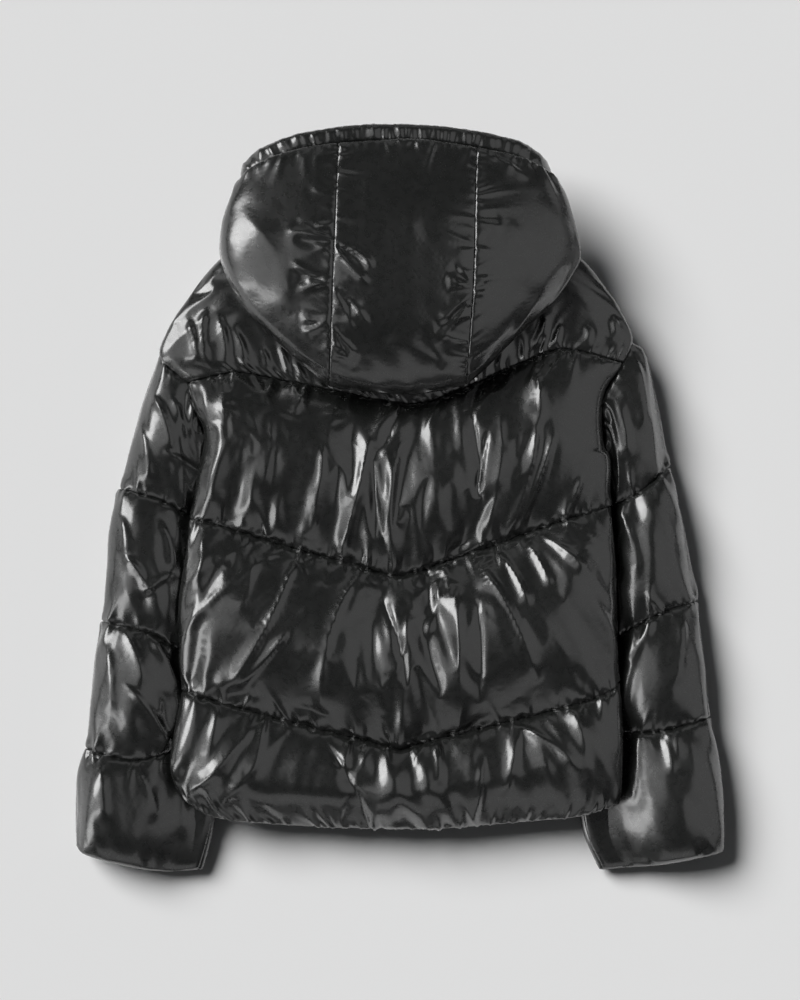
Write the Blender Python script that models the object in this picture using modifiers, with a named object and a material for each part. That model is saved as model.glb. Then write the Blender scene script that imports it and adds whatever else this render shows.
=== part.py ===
"""A cropped, hooded puffer jacket, laid on its front with its hood laid back over the yoke.

Metres, +Z up. The hood points along +Y, the wearer's left is at -X, and the front panels lie on
the plane Z = 0. Each quilted baffle is a padded wall of its own: a crowned outer skin, a lining
skin, and a thin stitched edge all round. The tables below are in millimetres.
"""

import math

import bmesh
import bpy
import numpy as np
from mathutils import Matrix

MM = 0.001
SEAM_GAP = 0.4          # clearance between two pieces that are sewn together
STITCHED_WALL = 4.0     # thickness of a padded wall where it is stitched through
DIAGONAL_ORDER = (1.0, 0.6, 0.3)    # makes both sides of a seam fold along the same diagonals

# ---- heights -------------------------------------------------------------------------------
MID_Z = 36.0            # where the back lies on the fronts, in the middle of the body
MID_SIDE_Z = 46.0       # the same at the sides, which ride up over the sleeves
MID_RISE = (120.0, 210.0)   # distances from the middle between which it rises
HOLLOW_HALF = 2.0       # half of the space left between the two linings

# ---- back: its seams across, from the left side to the right side --------------------------
NECK_LINE = [(-94, 295), (0, 290), (94, 295)]
YOKE_SEAM = [(-233, 128), (-174, 139), (-91, 122), (0, 105), (72, 122), (165, 163), (244, 151)]
MIDDLE_SEAM = [(-228, -21), (-121, -52), (0, -83), (98, -51), (184, -21), (231, -7)]
LOWER_SEAM = [(-238, -210), (-86, -252), (0, -273), (80, -254), (229, -211), (241, -200)]
HEM_LINE = [(-235, -332), (-204, -349), (-86, -360), (0, -362), (107, -357), (197, -348), (238, -335)]

# ---- body edges down each side: share of the panel's height, x, y ---------------------------
LEFT_EDGES = {
    "yoke": [(0, -94, 295), (0.12, -152, 283), (0.27, -197, 266), (0.5, -231, 224),
             (0.73, -254, 190), (0.88, -265, 161), (0.96, -253, 144), (1, -233, 128)],
    "upper": [(0, -233, 128), (0.27, -228, 102), (0.5, -215, 70), (0.73, -223, 23), (1, -228, -21)],
    "lower": [(0, -228, -21), (0.5, -242, -109), (0.8, -243, -167), (1, -238, -210)],
    "hem": [(0, -238, -210), (0.5, -252, -280), (0.86, -249, -311), (1, -235, -332)],
}
RIGHT_EDGES = {
    "yoke": [(0, 94, 295), (0.12, 154, 283), (0.27, 198, 267), (0.5, 229, 230),
             (0.73, 248, 200), (0.88, 256, 175), (1, 244, 151)],
    "upper": [(0, 244, 151), (0.27, 224, 113), (0.5, 224, 62), (0.73, 232, 45), (1, 231, -7)],
    "lower": [(0, 231, -7), (0.2, 235, -37), (0.5, 238, -90), (1, 241, -200)],
    "hem": [(0, 241, -200), (0.5, 245, -262), (0.86, 244, -318), (1, 238, -335)],
}

# ---- back baffles: height over the linings at the upper seam, the crown and the lower seam --
BACK_BAFFLES = [
    # name, upper line, lower line, at the upper seam, at the crown, at the lower seam
    ("yoke", NECK_LINE, YOKE_SEAM, 12, 23, 20),
    ("upper", YOKE_SEAM, MIDDLE_SEAM, 20, 44, 20),
    ("lower", MIDDLE_SEAM, LOWER_SEAM, 20, 46, 18),
    ("hem", LOWER_SEAM, HEM_LINE, 18, 40, 10),
]
BACK_COLUMNS = 15
EDGE_POWER = 3.2        # how square the padded sides are: 2 is an ellipse
BAFFLE_POWER = 0.45     # how full a baffle is between its seams: 1 is a parabola
CURVED_ROWS = (0, 0.04, 0.12, 0.27, 0.5, 0.73, 0.88, 0.96, 1)
PLAIN_ROWS = (0, 0.05, 0.2, 0.5, 0.8, 0.95, 1)

# ---- fronts --------------------------------------------------------------------------------
ZIP_HALF = 8.0          # half the width of the zip between the fronts
FRONT_NECK_DROP = 9.0   # how much lower the neck line is at the zip
FRONT_GROOVE = 8.0      # depth of the quilting lines in the flat underside
TUCK_Y = (110.0, 70.0)  # the sleeves lie under the body's sides below this
FRONT_SECTION = [
    # share from side to zip, height over a sleeve, height on the floor, both as shares of MID
    (0.0, 1.00, 1.00),
    (0.012, 0.93, 0.72),
    (0.05, 0.85, 0.35),
    (0.14, 0.78, 0.09),
    (0.30, 0.74, 0.0),
    (0.45, 0.40, 0.0),
    (0.64, 0.0, 0.0),
    (0.92, 0.0, 0.0),
    (1.0, 0.39, 0.5),
]

# ---- sleeves -------------------------------------------------------------------------------
SLEEVE_SECTION = [
    # share of the width from the outer edge to the inner one, top, middle, underside
    (0.0, 26, 26, 26),
    (0.02, 38, 26, 14),
    (0.08, 48, 27, 5),
    (0.18, 56, 27, 0),
    (0.34, 58, 27, 0),
    (0.50, 52, 25, 0),
    (0.62, 42, 21, 0),
    (0.76, 31, 16, 0),
    (0.95, 24, 13, 4),
    (1.0, 13, 13, 13),
]
SLEEVE_ROWS = (0, 0.06, 0.25, 0.62, 0.92, 1)
SLEEVE_PINCH_TOP = 0.45     # share of the thickness left at a quilting seam, above
SLEEVE_PINCH_UNDER = 0.75   # and underneath
SLEEVE_SLIT = 0.7           # half of the flattened hollow
ARMHOLE_WALL = 2.0          # half the thickness of the armhole seam
SLEEVES = {
    "left": {
        # the armhole: share of the sleeve's width, x, y, height
        "armhole": [(0, -265, 161, 46), (0.18, -253, 144, 46), (0.34, -233, 128, 46),
                    (0.5, -228, 102, 46), (0.62, -215, 70, 40), (1, -178, 1, 18)],
        "lines": [
            [(-310, 13), (-228, -19), (-182, -36)],
            [(-330, -133), (-273, -148), (-242, -166), (-187, -184)],
            [(-348, -274), (-286, -287), (-252, -279), (-196, -277)],
            [(-360, -382), (-350, -391), (-315, -401), (-264, -411), (-217, -410)],
        ],
        "outer": [
            [(-265, 161), (-284, 111), (-296, 67), (-310, 13)],
            [(-310, 13), (-323, -60), (-330, -133)],
            [(-330, -133), (-341, -205), (-348, -274)],
            [(-348, -274), (-358, -318), (-360, -382)],
        ],
        "inner": [
            [(-178, 1), (-182, -36)],
            [(-182, -36), (-187, -110), (-187, -184)],
            [(-187, -184), (-196, -277)],
            [(-196, -277), (-204, -350), (-217, -410)],
        ],
    },
    "right": {
        "armhole": [(0, 256, 175, 46), (0.18, 244, 151, 46), (0.34, 224, 113, 46),
                    (0.5, 224, 88, 46), (0.62, 224, 62, 40), (1, 182, 22, 18)],
        "lines": [
            [(299, 38), (268, 12), (234, -7), (188, -20)],
            [(329, -111), (287, -125), (241, -151), (192, -170)],
            [(344, -240), (288, -255), (245, -257), (196, -256)],
            [(360, -388), (346, -392), (288, -403), (219, -410)],
        ],
        "outer": [
            [(256, 175), (272, 161), (287, 100), (299, 38)],
            [(299, 38), (319, -40), (329, -111)],
            [(329, -111), (338, -180), (344, -240)],
            [(344, -240), (357, -315), (360, -388)],
        ],
        "inner": [
            [(182, 22), (188, -20)],
            [(188, -20), (190, -90), (192, -170)],
            [(192, -170), (196, -256)],
            [(196, -256), (200, -354), (219, -410)],
        ],
    },
}

# ---- hood ----------------------------------------------------------------------------------
HOOD_EDGE_Z = 88.0      # height of the hood's outline and of its fold
HOOD_CROWN = 53.0       # the upper layer's crown above that
HOOD_UNDER = 20.0       # the under layer's depth below it
HOOD_UPPER_WALL = 22.0  # thickness of the padded layers at their fullest
HOOD_UNDER_WALL = 18.0
HOOD_DRAW_IN = 0.105    # the lining's outline is this share narrower
HOOD_FOLD_WALL = 20.0   # and its fold this much shorter
HOOD_SEAM_DIP = 7.0     # depth of the two long seams
HOOD_SECTION = [
    # share from the opening to the fold, rise of the upper layer, depth of the under layer
    (0.0, 0.46, 1.82),
    (0.05, 0.56, 1.65),
    (0.15, 0.73, 1.40),
    (0.32, 0.93, 1.10),
    (0.50, 1.00, 1.00),
    (0.68, 0.93, 0.90),
    (0.83, 0.74, 0.80),
    (0.93, 0.48, 0.50),
    (1.0, 0.0, 0.0),
]
HOOD_SEAM_LEFT = [(-67, 387), (-73, 227), (-77, 124)]
HOOD_SEAM_RIGHT = [(84, 382), (80, 250), (72, 126)]
HOOD_SEAM_LEFT_UNDER = [(-67, 297), (-77, 124)]
HOOD_SEAM_RIGHT_UNDER = [(84, 297), (72, 126)]
HOOD_SIDE_LEFT = [(-177, 345), (-190, 313), (-197, 273), (-187, 238), (-166, 206), (-145, 183)]
HOOD_SIDE_RIGHT = [(172, 350), (182, 331), (197, 271), (188, 245), (167, 216), (152, 200)]
HOOD_PANELS = {
    # span is the share of the hood's width; the other lines are the plan of each edge
    "left": {
        "span": (0.0, 0.3),
        "opening": [(-177, 345), (-166, 358), (-140, 372), (-99, 383), (-67, 387)],
        "neck": [(-177, 345), (-150, 315), (-97, 300), (-67, 297)],
        "fold": [(-145, 183), (-95, 140), (-77, 124)],
        "start": (HOOD_SIDE_LEFT, HOOD_SIDE_LEFT),
        "end": (HOOD_SEAM_LEFT, HOOD_SEAM_LEFT_UNDER),
        "columns": (0.0, 0.08, 0.22, 0.45, 0.72, 1.0),
    },
    "centre": {
        "span": (0.3, 0.72),
        "opening": [(-67, 387), (0, 391), (84, 382)],
        "neck": [(-67, 297), (0, 296), (84, 297)],
        "fold": [(-77, 124), (-28, 117), (10, 115), (72, 126)],
        "start": (HOOD_SEAM_LEFT, HOOD_SEAM_LEFT_UNDER),
        "end": (HOOD_SEAM_RIGHT, HOOD_SEAM_RIGHT_UNDER),
        "columns": (0.0, 0.1, 0.35, 0.65, 0.9, 1.0),
    },
    "right": {
        "span": (0.72, 1.0),
        "opening": [(84, 382), (119, 376), (147, 367), (172, 350)],
        "neck": [(84, 297), (97, 300), (150, 318), (172, 350)],
        "fold": [(72, 126), (108, 159), (152, 200)],
        "start": (HOOD_SEAM_RIGHT, HOOD_SEAM_RIGHT_UNDER),
        "end": (HOOD_SIDE_RIGHT, HOOD_SIDE_RIGHT),
        "columns": (0.0, 0.28, 0.55, 0.78, 0.92, 1.0),
    },
}
CASING_WIDTH = 19.0     # the elastic casing along the hood's opening
CASING_THICK = 9.0
CASING_SEAM = [
    # x, y, height and turn of the casing's seam, from the zip round the opening and back;
    # the turn is that of its width from the outside of the neck to the outside of the opening
    (-9, 287, 24, 0), (-60, 297, 26, 0), (-100, 303, 38, 0), (-144, 328, 60, 20),
    (-170, 358, 84, 90), (-162, 364, 94, 150), (-140, 373, 101, 170), (-99, 384, 105, 180),
    (-36, 391, 107, 180), (44, 389, 107, 180), (119, 377, 103, 175), (145, 370, 99, 165),
    (160, 365, 94, 150), (166, 360, 84, 90), (144, 330, 60, 20), (100, 303, 38, 0),
    (60, 297, 26, 0), (9, 287, 24, 0),
]
CASING_STATIONS = 40
CASING_SIDES = 8

# ---- zip -----------------------------------------------------------------------------------
ZIP_Y = (-331.0, 281.0)
TAPE_Z = (20.0, 21.2)
TEETH_WIDTH = 5.6
TEETH_Z = (17.0, 19.7)
SLIDER_SIZE = (10.0, 13.0, 7.6)
SLIDER_AT = (0.0, 268.0, 12.8)
LUG_SIZE = (1.6, 5.0, 5.0)
LUG_X = 4.1
PIN_Z = 6.2
PIN_RADIUS = 0.9
PULL_SIZE = (5.6, 28.0, 1.6)
KNUCKLE_RADIUS = 2.2
KNUCKLE_HOLE = 1.3
ROUND_SIDES = 16

# ---- finishes: base colour (linear), roughness, metallic ------------------------------------
WET_LOOK_CLOTH = ("wet_look_cloth", (0.010, 0.010, 0.010), 0.28, 0.0)
ZIP_TAPE = ("zip_tape", (0.012, 0.012, 0.012), 0.85, 0.0)
BLACK_PLASTIC = ("black_plastic", (0.015, 0.015, 0.015), 0.4, 0.0)
BLACK_METAL = ("black_metal", (0.05, 0.05, 0.052), 0.3, 1.0)


def clear_scene():
    for item in list(bpy.data.objects):
        bpy.data.objects.remove(item, do_unlink=True)


def new_collection(name):
    collection = bpy.data.collections.new(name)
    bpy.context.scene.collection.children.link(collection)
    return collection


def finish_material(node, finish):
    """A Principled material for one piece."""
    name, colour, roughness, metallic = finish
    material = bpy.data.materials.new(f"{node}_{name}")
    material.use_nodes = True
    shader = material.node_tree.nodes["Principled BSDF"]
    shader.inputs["Base Color"].default_value = (*colour, 1.0)
    shader.inputs["Roughness"].default_value = roughness
    shader.inputs["Metallic"].default_value = metallic
    return material


# ---- numbers along lines and across patches --------------------------------------------------

def smooth_step(value):
    value = np.clip(value, 0.0, 1.0)
    return value * value * (3.0 - 2.0 * value)


def column(table, place, share):
    """Read one column of a table at a share given by its first column."""
    table = np.asarray(table, dtype=float)
    return np.interp(share, table[:, 0], table[:, place])


def along(points, shares):
    """Points at shares of the length of a line through the given points."""
    points = np.asarray(points, dtype=float)
    steps = np.linalg.norm(np.diff(points, axis=0), axis=1)
    length = np.concatenate([[0.0], np.cumsum(steps)])
    wanted = np.asarray(shares) * length[-1]
    return np.stack([np.interp(wanted, length, points[:, axis]) for axis in range(points.shape[1])], axis=1)


def smooth_line(points, count):
    """A smooth open line through the points (Catmull-Rom), as evenly spaced stations."""
    points = np.asarray(points, dtype=float)
    padded = np.vstack([2 * points[0] - points[1], points, 2 * points[-1] - points[-2]])
    fine = []
    for index in range(len(points) - 1):
        before, start, end, after = padded[index:index + 4]
        for t in np.linspace(0.0, 1.0, 12, endpoint=False):
            fine.append(0.5 * (2 * start + (end - before) * t
                               + (2 * before - 5 * start + 4 * end - after) * t ** 2
                               + (3 * start - before - 3 * end + after) * t ** 3))
    fine.append(points[-1])
    return along(fine, np.linspace(0.0, 1.0, count))


def patch(top, bottom, start, end, rows, columns):
    """A plan filled in between four lines (Coons), as rows of (x, y) from top to bottom.

    top and bottom hold a point a column; start and end hold a point a row.
    """
    across = np.asarray(columns)[None, :, None]
    down = np.asarray(rows)[:, None, None]
    between_lines = (1 - down) * top[None] + down * bottom[None]
    between_sides = (1 - across) * start[:, None] + across * end[:, None]
    corners = ((1 - down) * (1 - across) * top[0] + (1 - down) * across * top[-1]
               + down * (1 - across) * bottom[0] + down * across * bottom[-1])
    return between_lines + between_sides - corners


def with_height(plan, height):
    return np.concatenate([plan, height[:, :, None]], axis=2)


def inset_rows(rows, length):
    """The rows of a panel, drawn in at both seams by half the seam's gap."""
    margin = 0.5 * SEAM_GAP / length
    return margin + np.asarray(rows) * (1 - 2 * margin)


def fullness(share):
    """How full a baffle is at a share of its height: 0 at its seams, 1 at its crown."""
    return (4 * share * (1 - share)) ** BAFFLE_POWER


def pinch(share, reach=0.12):
    """1 at the seams, falling to 0 within reach of them."""
    return 1 - smooth_step(np.minimum(share, 1 - share) / reach)


# ---- solids ------------------------------------------------------------------------------------

def wall(name, outer, inner, finish, collection):
    """One closed wall from an outer skin and a lining skin, which are matching lists of grids.

    Points of the outer grids that fall together are one vertex, and the free edges of the two
    skins are joined by a strip.
    """
    number = {}
    outer_points, inner_points, faces = [], [], []

    def vertex(point, partner):
        key = tuple(np.round(point, 3))
        if key not in number:
            number[key] = len(outer_points)
            outer_points.append(point)
            inner_points.append(partner)
        return number[key]

    for skin, lining in zip(outer, inner):
        rows, columns = skin.shape[:2]
        ids = [[vertex(skin[r, c], lining[r, c]) for c in range(columns)] for r in range(rows)]
        for r in range(rows - 1):
            for c in range(columns - 1):
                corners = [ids[r][c], ids[r + 1][c], ids[r + 1][c + 1], ids[r][c + 1]]
                face = [v for place, v in enumerate(corners) if v != corners[place - 1]]
                if len(face) > 2:
                    faces.append(face)

    mesh = bpy.data.meshes.new(name)
    shape = bmesh.new()
    skin_side = [shape.verts.new(np.asarray(p) * MM) for p in outer_points]
    lining_side = [shape.verts.new(np.asarray(p) * MM) for p in inner_points]
    for face in faces:
        shape.faces.new([skin_side[v] for v in face])
    free = [tuple(v.index for v in edge.verts) for edge in free_edges(shape)]
    for face in faces:
        shape.faces.new([lining_side[v] for v in reversed(face)])
    for edge in free:
        a, b = sorted(edge, key=lambda v: float(np.dot(outer_points[v], DIAGONAL_ORDER)))
        shape.faces.new([skin_side[a], skin_side[b], lining_side[b]])
        shape.faces.new([skin_side[a], lining_side[b], lining_side[a]])
    bmesh.ops.recalc_face_normals(shape, faces=shape.faces)
    shape.to_mesh(mesh)
    shape.free()
    return add_piece(name, mesh, finish, collection)


def free_edges(shape):
    shape.verts.index_update()
    return [edge for edge in shape.edges if len(edge.link_faces) == 1]


def add_piece(name, mesh, finish, collection):
    mesh.shade_smooth()
    mesh.set_sharp_from_angle(angle=math.radians(50))
    piece = bpy.data.objects.new(name, mesh)
    mesh.materials.append(finish_material(name, finish))
    collection.objects.link(piece)
    return piece


def mid_height(x):
    """Height of the surface where the back lies on the fronts."""
    start, end = MID_RISE
    return MID_Z + (MID_SIDE_Z - MID_Z) * smooth_step((np.abs(x) - start) / (end - start))


# ---- back ----------------------------------------------------------------------------------------

def back_columns():
    """Shares across the back and the fullness of its rolled sides there."""
    angle = np.linspace(0.0, math.pi, BACK_COLUMNS)
    reach = np.sign(np.cos(angle)) * np.abs(np.cos(angle)) ** (2 / EDGE_POWER)
    roll = np.abs(np.sin(angle)) ** (2 / EDGE_POWER)
    return 0.5 - 0.5 * reach, roll


def side_line(table, rows):
    return np.stack([column(table, 1, rows), column(table, 2, rows)], axis=1)


def back_baffle(panel, top_line, bottom_line, at_top, at_crown, at_bottom, collection):
    length = abs(np.mean(np.asarray(top_line)[:, 1]) - np.mean(np.asarray(bottom_line)[:, 1]))
    rows = inset_rows(CURVED_ROWS if panel in ("yoke", "upper") else PLAIN_ROWS, length)
    shares, roll = back_columns()
    plan = patch(along(top_line, shares), along(bottom_line, shares),
                 side_line(LEFT_EDGES[panel], rows), side_line(RIGHT_EDGES[panel], rows), rows, shares)
    seam_height = at_top + (at_bottom - at_top) * rows
    height = seam_height + (at_crown - seam_height) * fullness(rows)
    clear = 0.5 * SEAM_GAP
    mid = mid_height(plan[:, :, 0])
    outer = with_height(plan, mid + clear + height[:, None] * roll[None])

    middle = plan[:, BACK_COLUMNS // 2][:, None]
    half_width = 0.5 * np.linalg.norm(plan[:, -1] - plan[:, 0], axis=1)[:, None, None]
    drawn_in = plan + (middle - plan) * STITCHED_WALL / half_width
    lining_height = HOLLOW_HALF + (seam_height - STITCHED_WALL - HOLLOW_HALF) * pinch(rows)
    inner_mid = mid_height(drawn_in[:, :, 0])
    inner = with_height(drawn_in, inner_mid + clear + lining_height[:, None] * roll[None])
    wall(f"back_{panel}", [outer], [inner], WET_LOOK_CLOTH, collection)


# ---- fronts --------------------------------------------------------------------------------------

def front_line(line, side, edge_point):
    """The zip end of a front's upper or lower edge, straight across from the side."""
    left, right = np.asarray(line[0], dtype=float), np.asarray(line[-1], dtype=float)
    share = (side * ZIP_HALF - left[0]) / (right[0] - left[0])
    middle = left + (right - left) * share
    if line is NECK_LINE:
        middle[1] -= FRONT_NECK_DROP
    return np.array([edge_point, middle])


def front_baffle(name, panel, side, edges, top_line, bottom_line, collection):
    length = abs(np.mean(np.asarray(top_line)[:, 1]) - np.mean(np.asarray(bottom_line)[:, 1]))
    rows = inset_rows(CURVED_ROWS if panel in ("yoke", "upper") else PLAIN_ROWS, length)
    shares = np.asarray(FRONT_SECTION)[:, 0]
    edge = side_line(edges[panel], rows)
    whole_edge = side_line(edges[panel], [0.0, 1.0])
    top = along(front_line(top_line, side, whole_edge[0]), shares)
    bottom = along(front_line(bottom_line, side, whole_edge[1]), shares)
    zip_side = along([top[-1], bottom[-1]], rows)
    plan = patch(top, bottom, edge, zip_side, rows, shares)

    clear = 0.5 * SEAM_GAP
    mid = mid_height(plan[:, :, 0])
    tucked = smooth_step((TUCK_Y[0] - plan[:, :, 1]) / (TUCK_Y[0] - TUCK_Y[1]))
    over_sleeve = column(FRONT_SECTION, 1, shares)[None] * MID_SIDE_Z
    on_floor = column(FRONT_SECTION, 2, shares)[None] * mid
    underside = on_floor + (over_sleeve - on_floor) * tucked
    groove = FRONT_GROOVE * pinch(rows)[:, None] * (1 - underside / mid)
    at_edge = (shares == 0)[None]
    underside = np.where(at_edge, mid - clear, underside + groove)
    outer = with_height(plan, underside)

    drawn_in = plan + (plan[:, -1:] - plan) * STITCHED_WALL / np.linalg.norm(
        plan[:, -1] - plan[:, 0], axis=1)[:, None, None]
    inner_mid = mid_height(drawn_in[:, :, 0])
    drop = np.where(at_edge, clear, HOLLOW_HALF + 6.0 * pinch(rows)[:, None])
    near_edge = np.minimum(1.0, shares / 0.14)[None]
    inner = with_height(drawn_in, inner_mid - clear - (drop - clear) * near_edge)
    wall(name, [outer], [inner], WET_LOOK_CLOTH, collection)


# ---- sleeves -------------------------------------------------------------------------------------

def sleeve_baffle(side, place, collection):
    cut = SLEEVES[side]
    shares = np.asarray(SLEEVE_SECTION)[:, 0]
    bottom = along(cut["lines"][place], shares)
    if place == 0:
        top = np.stack([column(cut["armhole"], 1, shares), column(cut["armhole"], 2, shares)], axis=1)
    else:
        top = along(cut["lines"][place - 1], shares)
    length = np.linalg.norm(top[len(shares) // 2] - bottom[len(shares) // 2])
    rows = inset_rows(SLEEVE_ROWS, length)
    plan = patch(top, bottom, along(cut["outer"][place], rows), along(cut["inner"][place], rows),
                 rows, shares)

    crown = {name: column(SLEEVE_SECTION, index, shares)
             for name, index in (("top", 1), ("mid", 2), ("under", 3))}
    pinched = {
        "top": crown["mid"] + (crown["top"] - crown["mid"]) * SLEEVE_PINCH_TOP,
        "mid": crown["mid"],
        "under": crown["mid"] - (crown["mid"] - crown["under"]) * SLEEVE_PINCH_UNDER,
    }
    first = pinched
    if place == 0:
        height = column(cut["armhole"], 3, shares)
        half = ARMHOLE_WALL * np.where((shares == 0) | (shares == 1), 0.0, 1.0)
        first = {"top": height + half, "mid": height, "under": height - half}

    full = fullness(rows)[:, None]
    upper_half = (rows < 0.5)[:, None]
    level = {name: np.where(upper_half, first[name][None], pinched[name][None]) * (1 - full)
             + crown[name][None] * full for name in crown}

    middle = plan[:, len(shares) // 2][:, None]
    half_width = 0.5 * np.linalg.norm(plan[:, -1] - plan[:, 0], axis=1)[:, None, None]
    drawn_in = plan + (middle - plan) * STITCHED_WALL / half_width
    slit = np.minimum(SLEEVE_SLIT, 0.4 * (level["top"] - level["mid"]))
    slit[:, [0, -1]] = 0.0
    outer = [with_height(plan, level["top"]), with_height(plan, level["under"])]
    inner = [with_height(drawn_in, level["mid"] + slit), with_height(drawn_in, level["mid"] - slit)]
    wall(f"sleeve_{side}_{place + 1}", outer, inner, WET_LOOK_CLOTH, collection)


# ---- hood ----------------------------------------------------------------------------------------

def hood_arch(share):
    """The hood's rise across its width: 0 at its outline, 1 in the middle."""
    return (1 - np.abs(2 * share - 1) ** 2.6) ** (1 / 2.2)


def hood_panel(name, collection):
    cut = HOOD_PANELS[name]
    columns = np.asarray(cut["columns"])
    rows = np.asarray(HOOD_SECTION)[:, 0]
    rise = column(HOOD_SECTION, 1, rows)[:, None]
    depth = column(HOOD_SECTION, 2, rows)[:, None]
    across = cut["span"][0] + (cut["span"][1] - cut["span"][0]) * columns
    arch = hood_arch(across)[None]
    sewn = np.array([name != "left", *[False] * (len(columns) - 2), name != "right"])
    dip = HOOD_SEAM_DIP * np.where(sewn, 1.0, 0.0)[None] * rise
    gap = 0.5 * SEAM_GAP * (np.where(sewn, 1.0, 0.0) * np.where(columns < 0.5, 1, -1))

    outer, inner = [], []
    for layer, edge in enumerate(("opening", "neck")):
        plan = patch(along(cut[edge], columns), along(cut["fold"], columns),
                     along(cut["start"][layer], rows), along(cut["end"][layer], rows), rows, columns)
        plan[:, :, 0] += gap[None]
        lining = plan.copy()
        lining[:, :, 0] *= 1 - HOOD_DRAW_IN
        lining[:, :, 1] += HOOD_FOLD_WALL * rows[:, None]
        if layer == 0:
            height = HOOD_EDGE_Z + HOOD_CROWN * rise * arch - dip
            lining_height = HOOD_EDGE_Z + (HOOD_CROWN - HOOD_UPPER_WALL) * rise * arch
        else:
            height = HOOD_EDGE_Z - HOOD_UNDER * depth * arch
            lining_height = height + HOOD_UNDER_WALL * rise * arch
        outer.append(with_height(plan, height))
        inner.append(with_height(lining, lining_height))
    wall(f"hood_{name}", outer, inner, WET_LOOK_CLOTH, collection)


def hood_casing(collection):
    """The elastic casing: a flattened tube along the opening, from one end of the zip round to the other."""
    seam = smooth_line(CASING_SEAM, CASING_STATIONS)
    run = np.gradient(seam[:, :3], axis=0)
    run /= np.linalg.norm(run, axis=1)[:, None]
    side = np.stack([run[:, 1], -run[:, 0], np.zeros(len(run))], axis=1)
    side /= np.linalg.norm(side, axis=1)[:, None]
    turn = np.radians(seam[:, 3])[:, None]
    width = side * np.cos(turn) + np.array([[0.0, 0.0, -1.0]]) * np.sin(turn)
    thick = np.cross(run, width)
    thick /= np.linalg.norm(thick, axis=1)[:, None]
    middle = seam[:, :3] + width * (0.5 * CASING_WIDTH + SEAM_GAP)

    mesh = bpy.data.meshes.new("hood_edge")
    shape = bmesh.new()
    rings = []
    for centre, across, up in zip(middle, width, thick):
        ring = []
        for step in range(CASING_SIDES):
            angle = 2 * math.pi * step / CASING_SIDES
            point = (centre + across * 0.5 * CASING_WIDTH * math.cos(angle)
                     + up * 0.5 * CASING_THICK * math.sin(angle))
            ring.append(shape.verts.new(point * MM))
        rings.append(ring)
    for ring, following in zip(rings, rings[1:]):
        for step in range(CASING_SIDES):
            after = (step + 1) % CASING_SIDES
            shape.faces.new([ring[step], ring[after], following[after], following[step]])
    shape.faces.new(rings[0])
    shape.faces.new(rings[-1])
    bmesh.ops.recalc_face_normals(shape, faces=shape.faces)
    shape.to_mesh(mesh)
    shape.free()
    add_piece("hood_edge", mesh, WET_LOOK_CLOTH, collection)


# ---- zip -----------------------------------------------------------------------------------------

def box(name, size, at, collection, finish=None, bevel=0.0):
    shape = bmesh.new()
    bmesh.ops.create_cube(shape, size=1.0)
    bmesh.ops.scale(shape, verts=shape.verts, vec=[length * MM for length in size])
    return primitive(name, shape, at, collection, finish, bevel)


def cylinder(name, radius, length, at, collection):
    """A round bar along X."""
    shape = bmesh.new()
    bmesh.ops.create_cone(shape, cap_ends=True, segments=ROUND_SIDES, radius1=radius * MM,
                          radius2=radius * MM, depth=length * MM)
    bmesh.ops.rotate(shape, verts=shape.verts, matrix=Matrix.Rotation(0.5 * math.pi, 3, "Y"))
    return primitive(name, shape, at, collection, None, 0.0)


def primitive(name, shape, at, collection, finish, bevel):
    mesh = bpy.data.meshes.new(name)
    shape.to_mesh(mesh)
    shape.free()
    piece = bpy.data.objects.new(name, mesh)
    piece.location = [place * MM for place in at]
    collection.objects.link(piece)
    if finish:
        mesh.materials.append(finish_material(name, finish))
    if bevel:
        rounded = piece.modifiers.new("rounded", "BEVEL")
        rounded.width = bevel * MM
        rounded.segments = 2
    return piece


def combine(piece, cutter, operation):
    cutter.hide_render = True
    cutter.display_type = "WIRE"
    step = piece.modifiers.new(cutter.name, "BOOLEAN")
    step.operation = operation
    step.object = cutter


def front_zip(collection, cutters):
    middle_y = 0.5 * (ZIP_Y[0] + ZIP_Y[1])
    length = ZIP_Y[1] - ZIP_Y[0]
    tape_width = ZIP_HALF - SEAM_GAP - 0.5 * SEAM_GAP
    for name, side in (("left", -1), ("right", 1)):
        centre = side * (0.5 * SEAM_GAP + 0.5 * tape_width)
        box(f"zip_tape_{name}", (tape_width, length, TAPE_Z[1] - TAPE_Z[0]),
            (centre, middle_y, 0.5 * sum(TAPE_Z)), collection, ZIP_TAPE)
    box("zip_teeth", (TEETH_WIDTH, length, TEETH_Z[1] - TEETH_Z[0]),
        (0, middle_y, 0.5 * sum(TEETH_Z)), collection, BLACK_PLASTIC, 0.5)

    slider = box("zip_slider", SLIDER_SIZE, SLIDER_AT, collection, BLACK_METAL, 1.0)
    lug_z = PIN_Z + 0.5 * (LUG_SIZE[2] - 2 * PIN_RADIUS - 0.8)
    for side in (-1, 1):
        lug = box(f"lug_{side}", LUG_SIZE, (side * LUG_X, SLIDER_AT[1], lug_z), cutters)
        combine(slider, lug, "UNION")
    pin = cylinder("pin", PIN_RADIUS, 2 * LUG_X, (0, SLIDER_AT[1], PIN_Z), cutters)
    combine(slider, pin, "UNION")

    pull = box("zip_pull", PULL_SIZE, (0, SLIDER_AT[1] - 0.5 * PULL_SIZE[1], PIN_Z), collection,
               BLACK_METAL, 0.5)
    knuckle = cylinder("knuckle", KNUCKLE_RADIUS, PULL_SIZE[0], (0, SLIDER_AT[1], PIN_Z), cutters)
    hole = cylinder("pull_hole", KNUCKLE_HOLE, 2 * PULL_SIZE[0], (0, SLIDER_AT[1], PIN_Z), cutters)
    combine(pull, knuckle, "UNION")
    combine(pull, hole, "DIFFERENCE")


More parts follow.
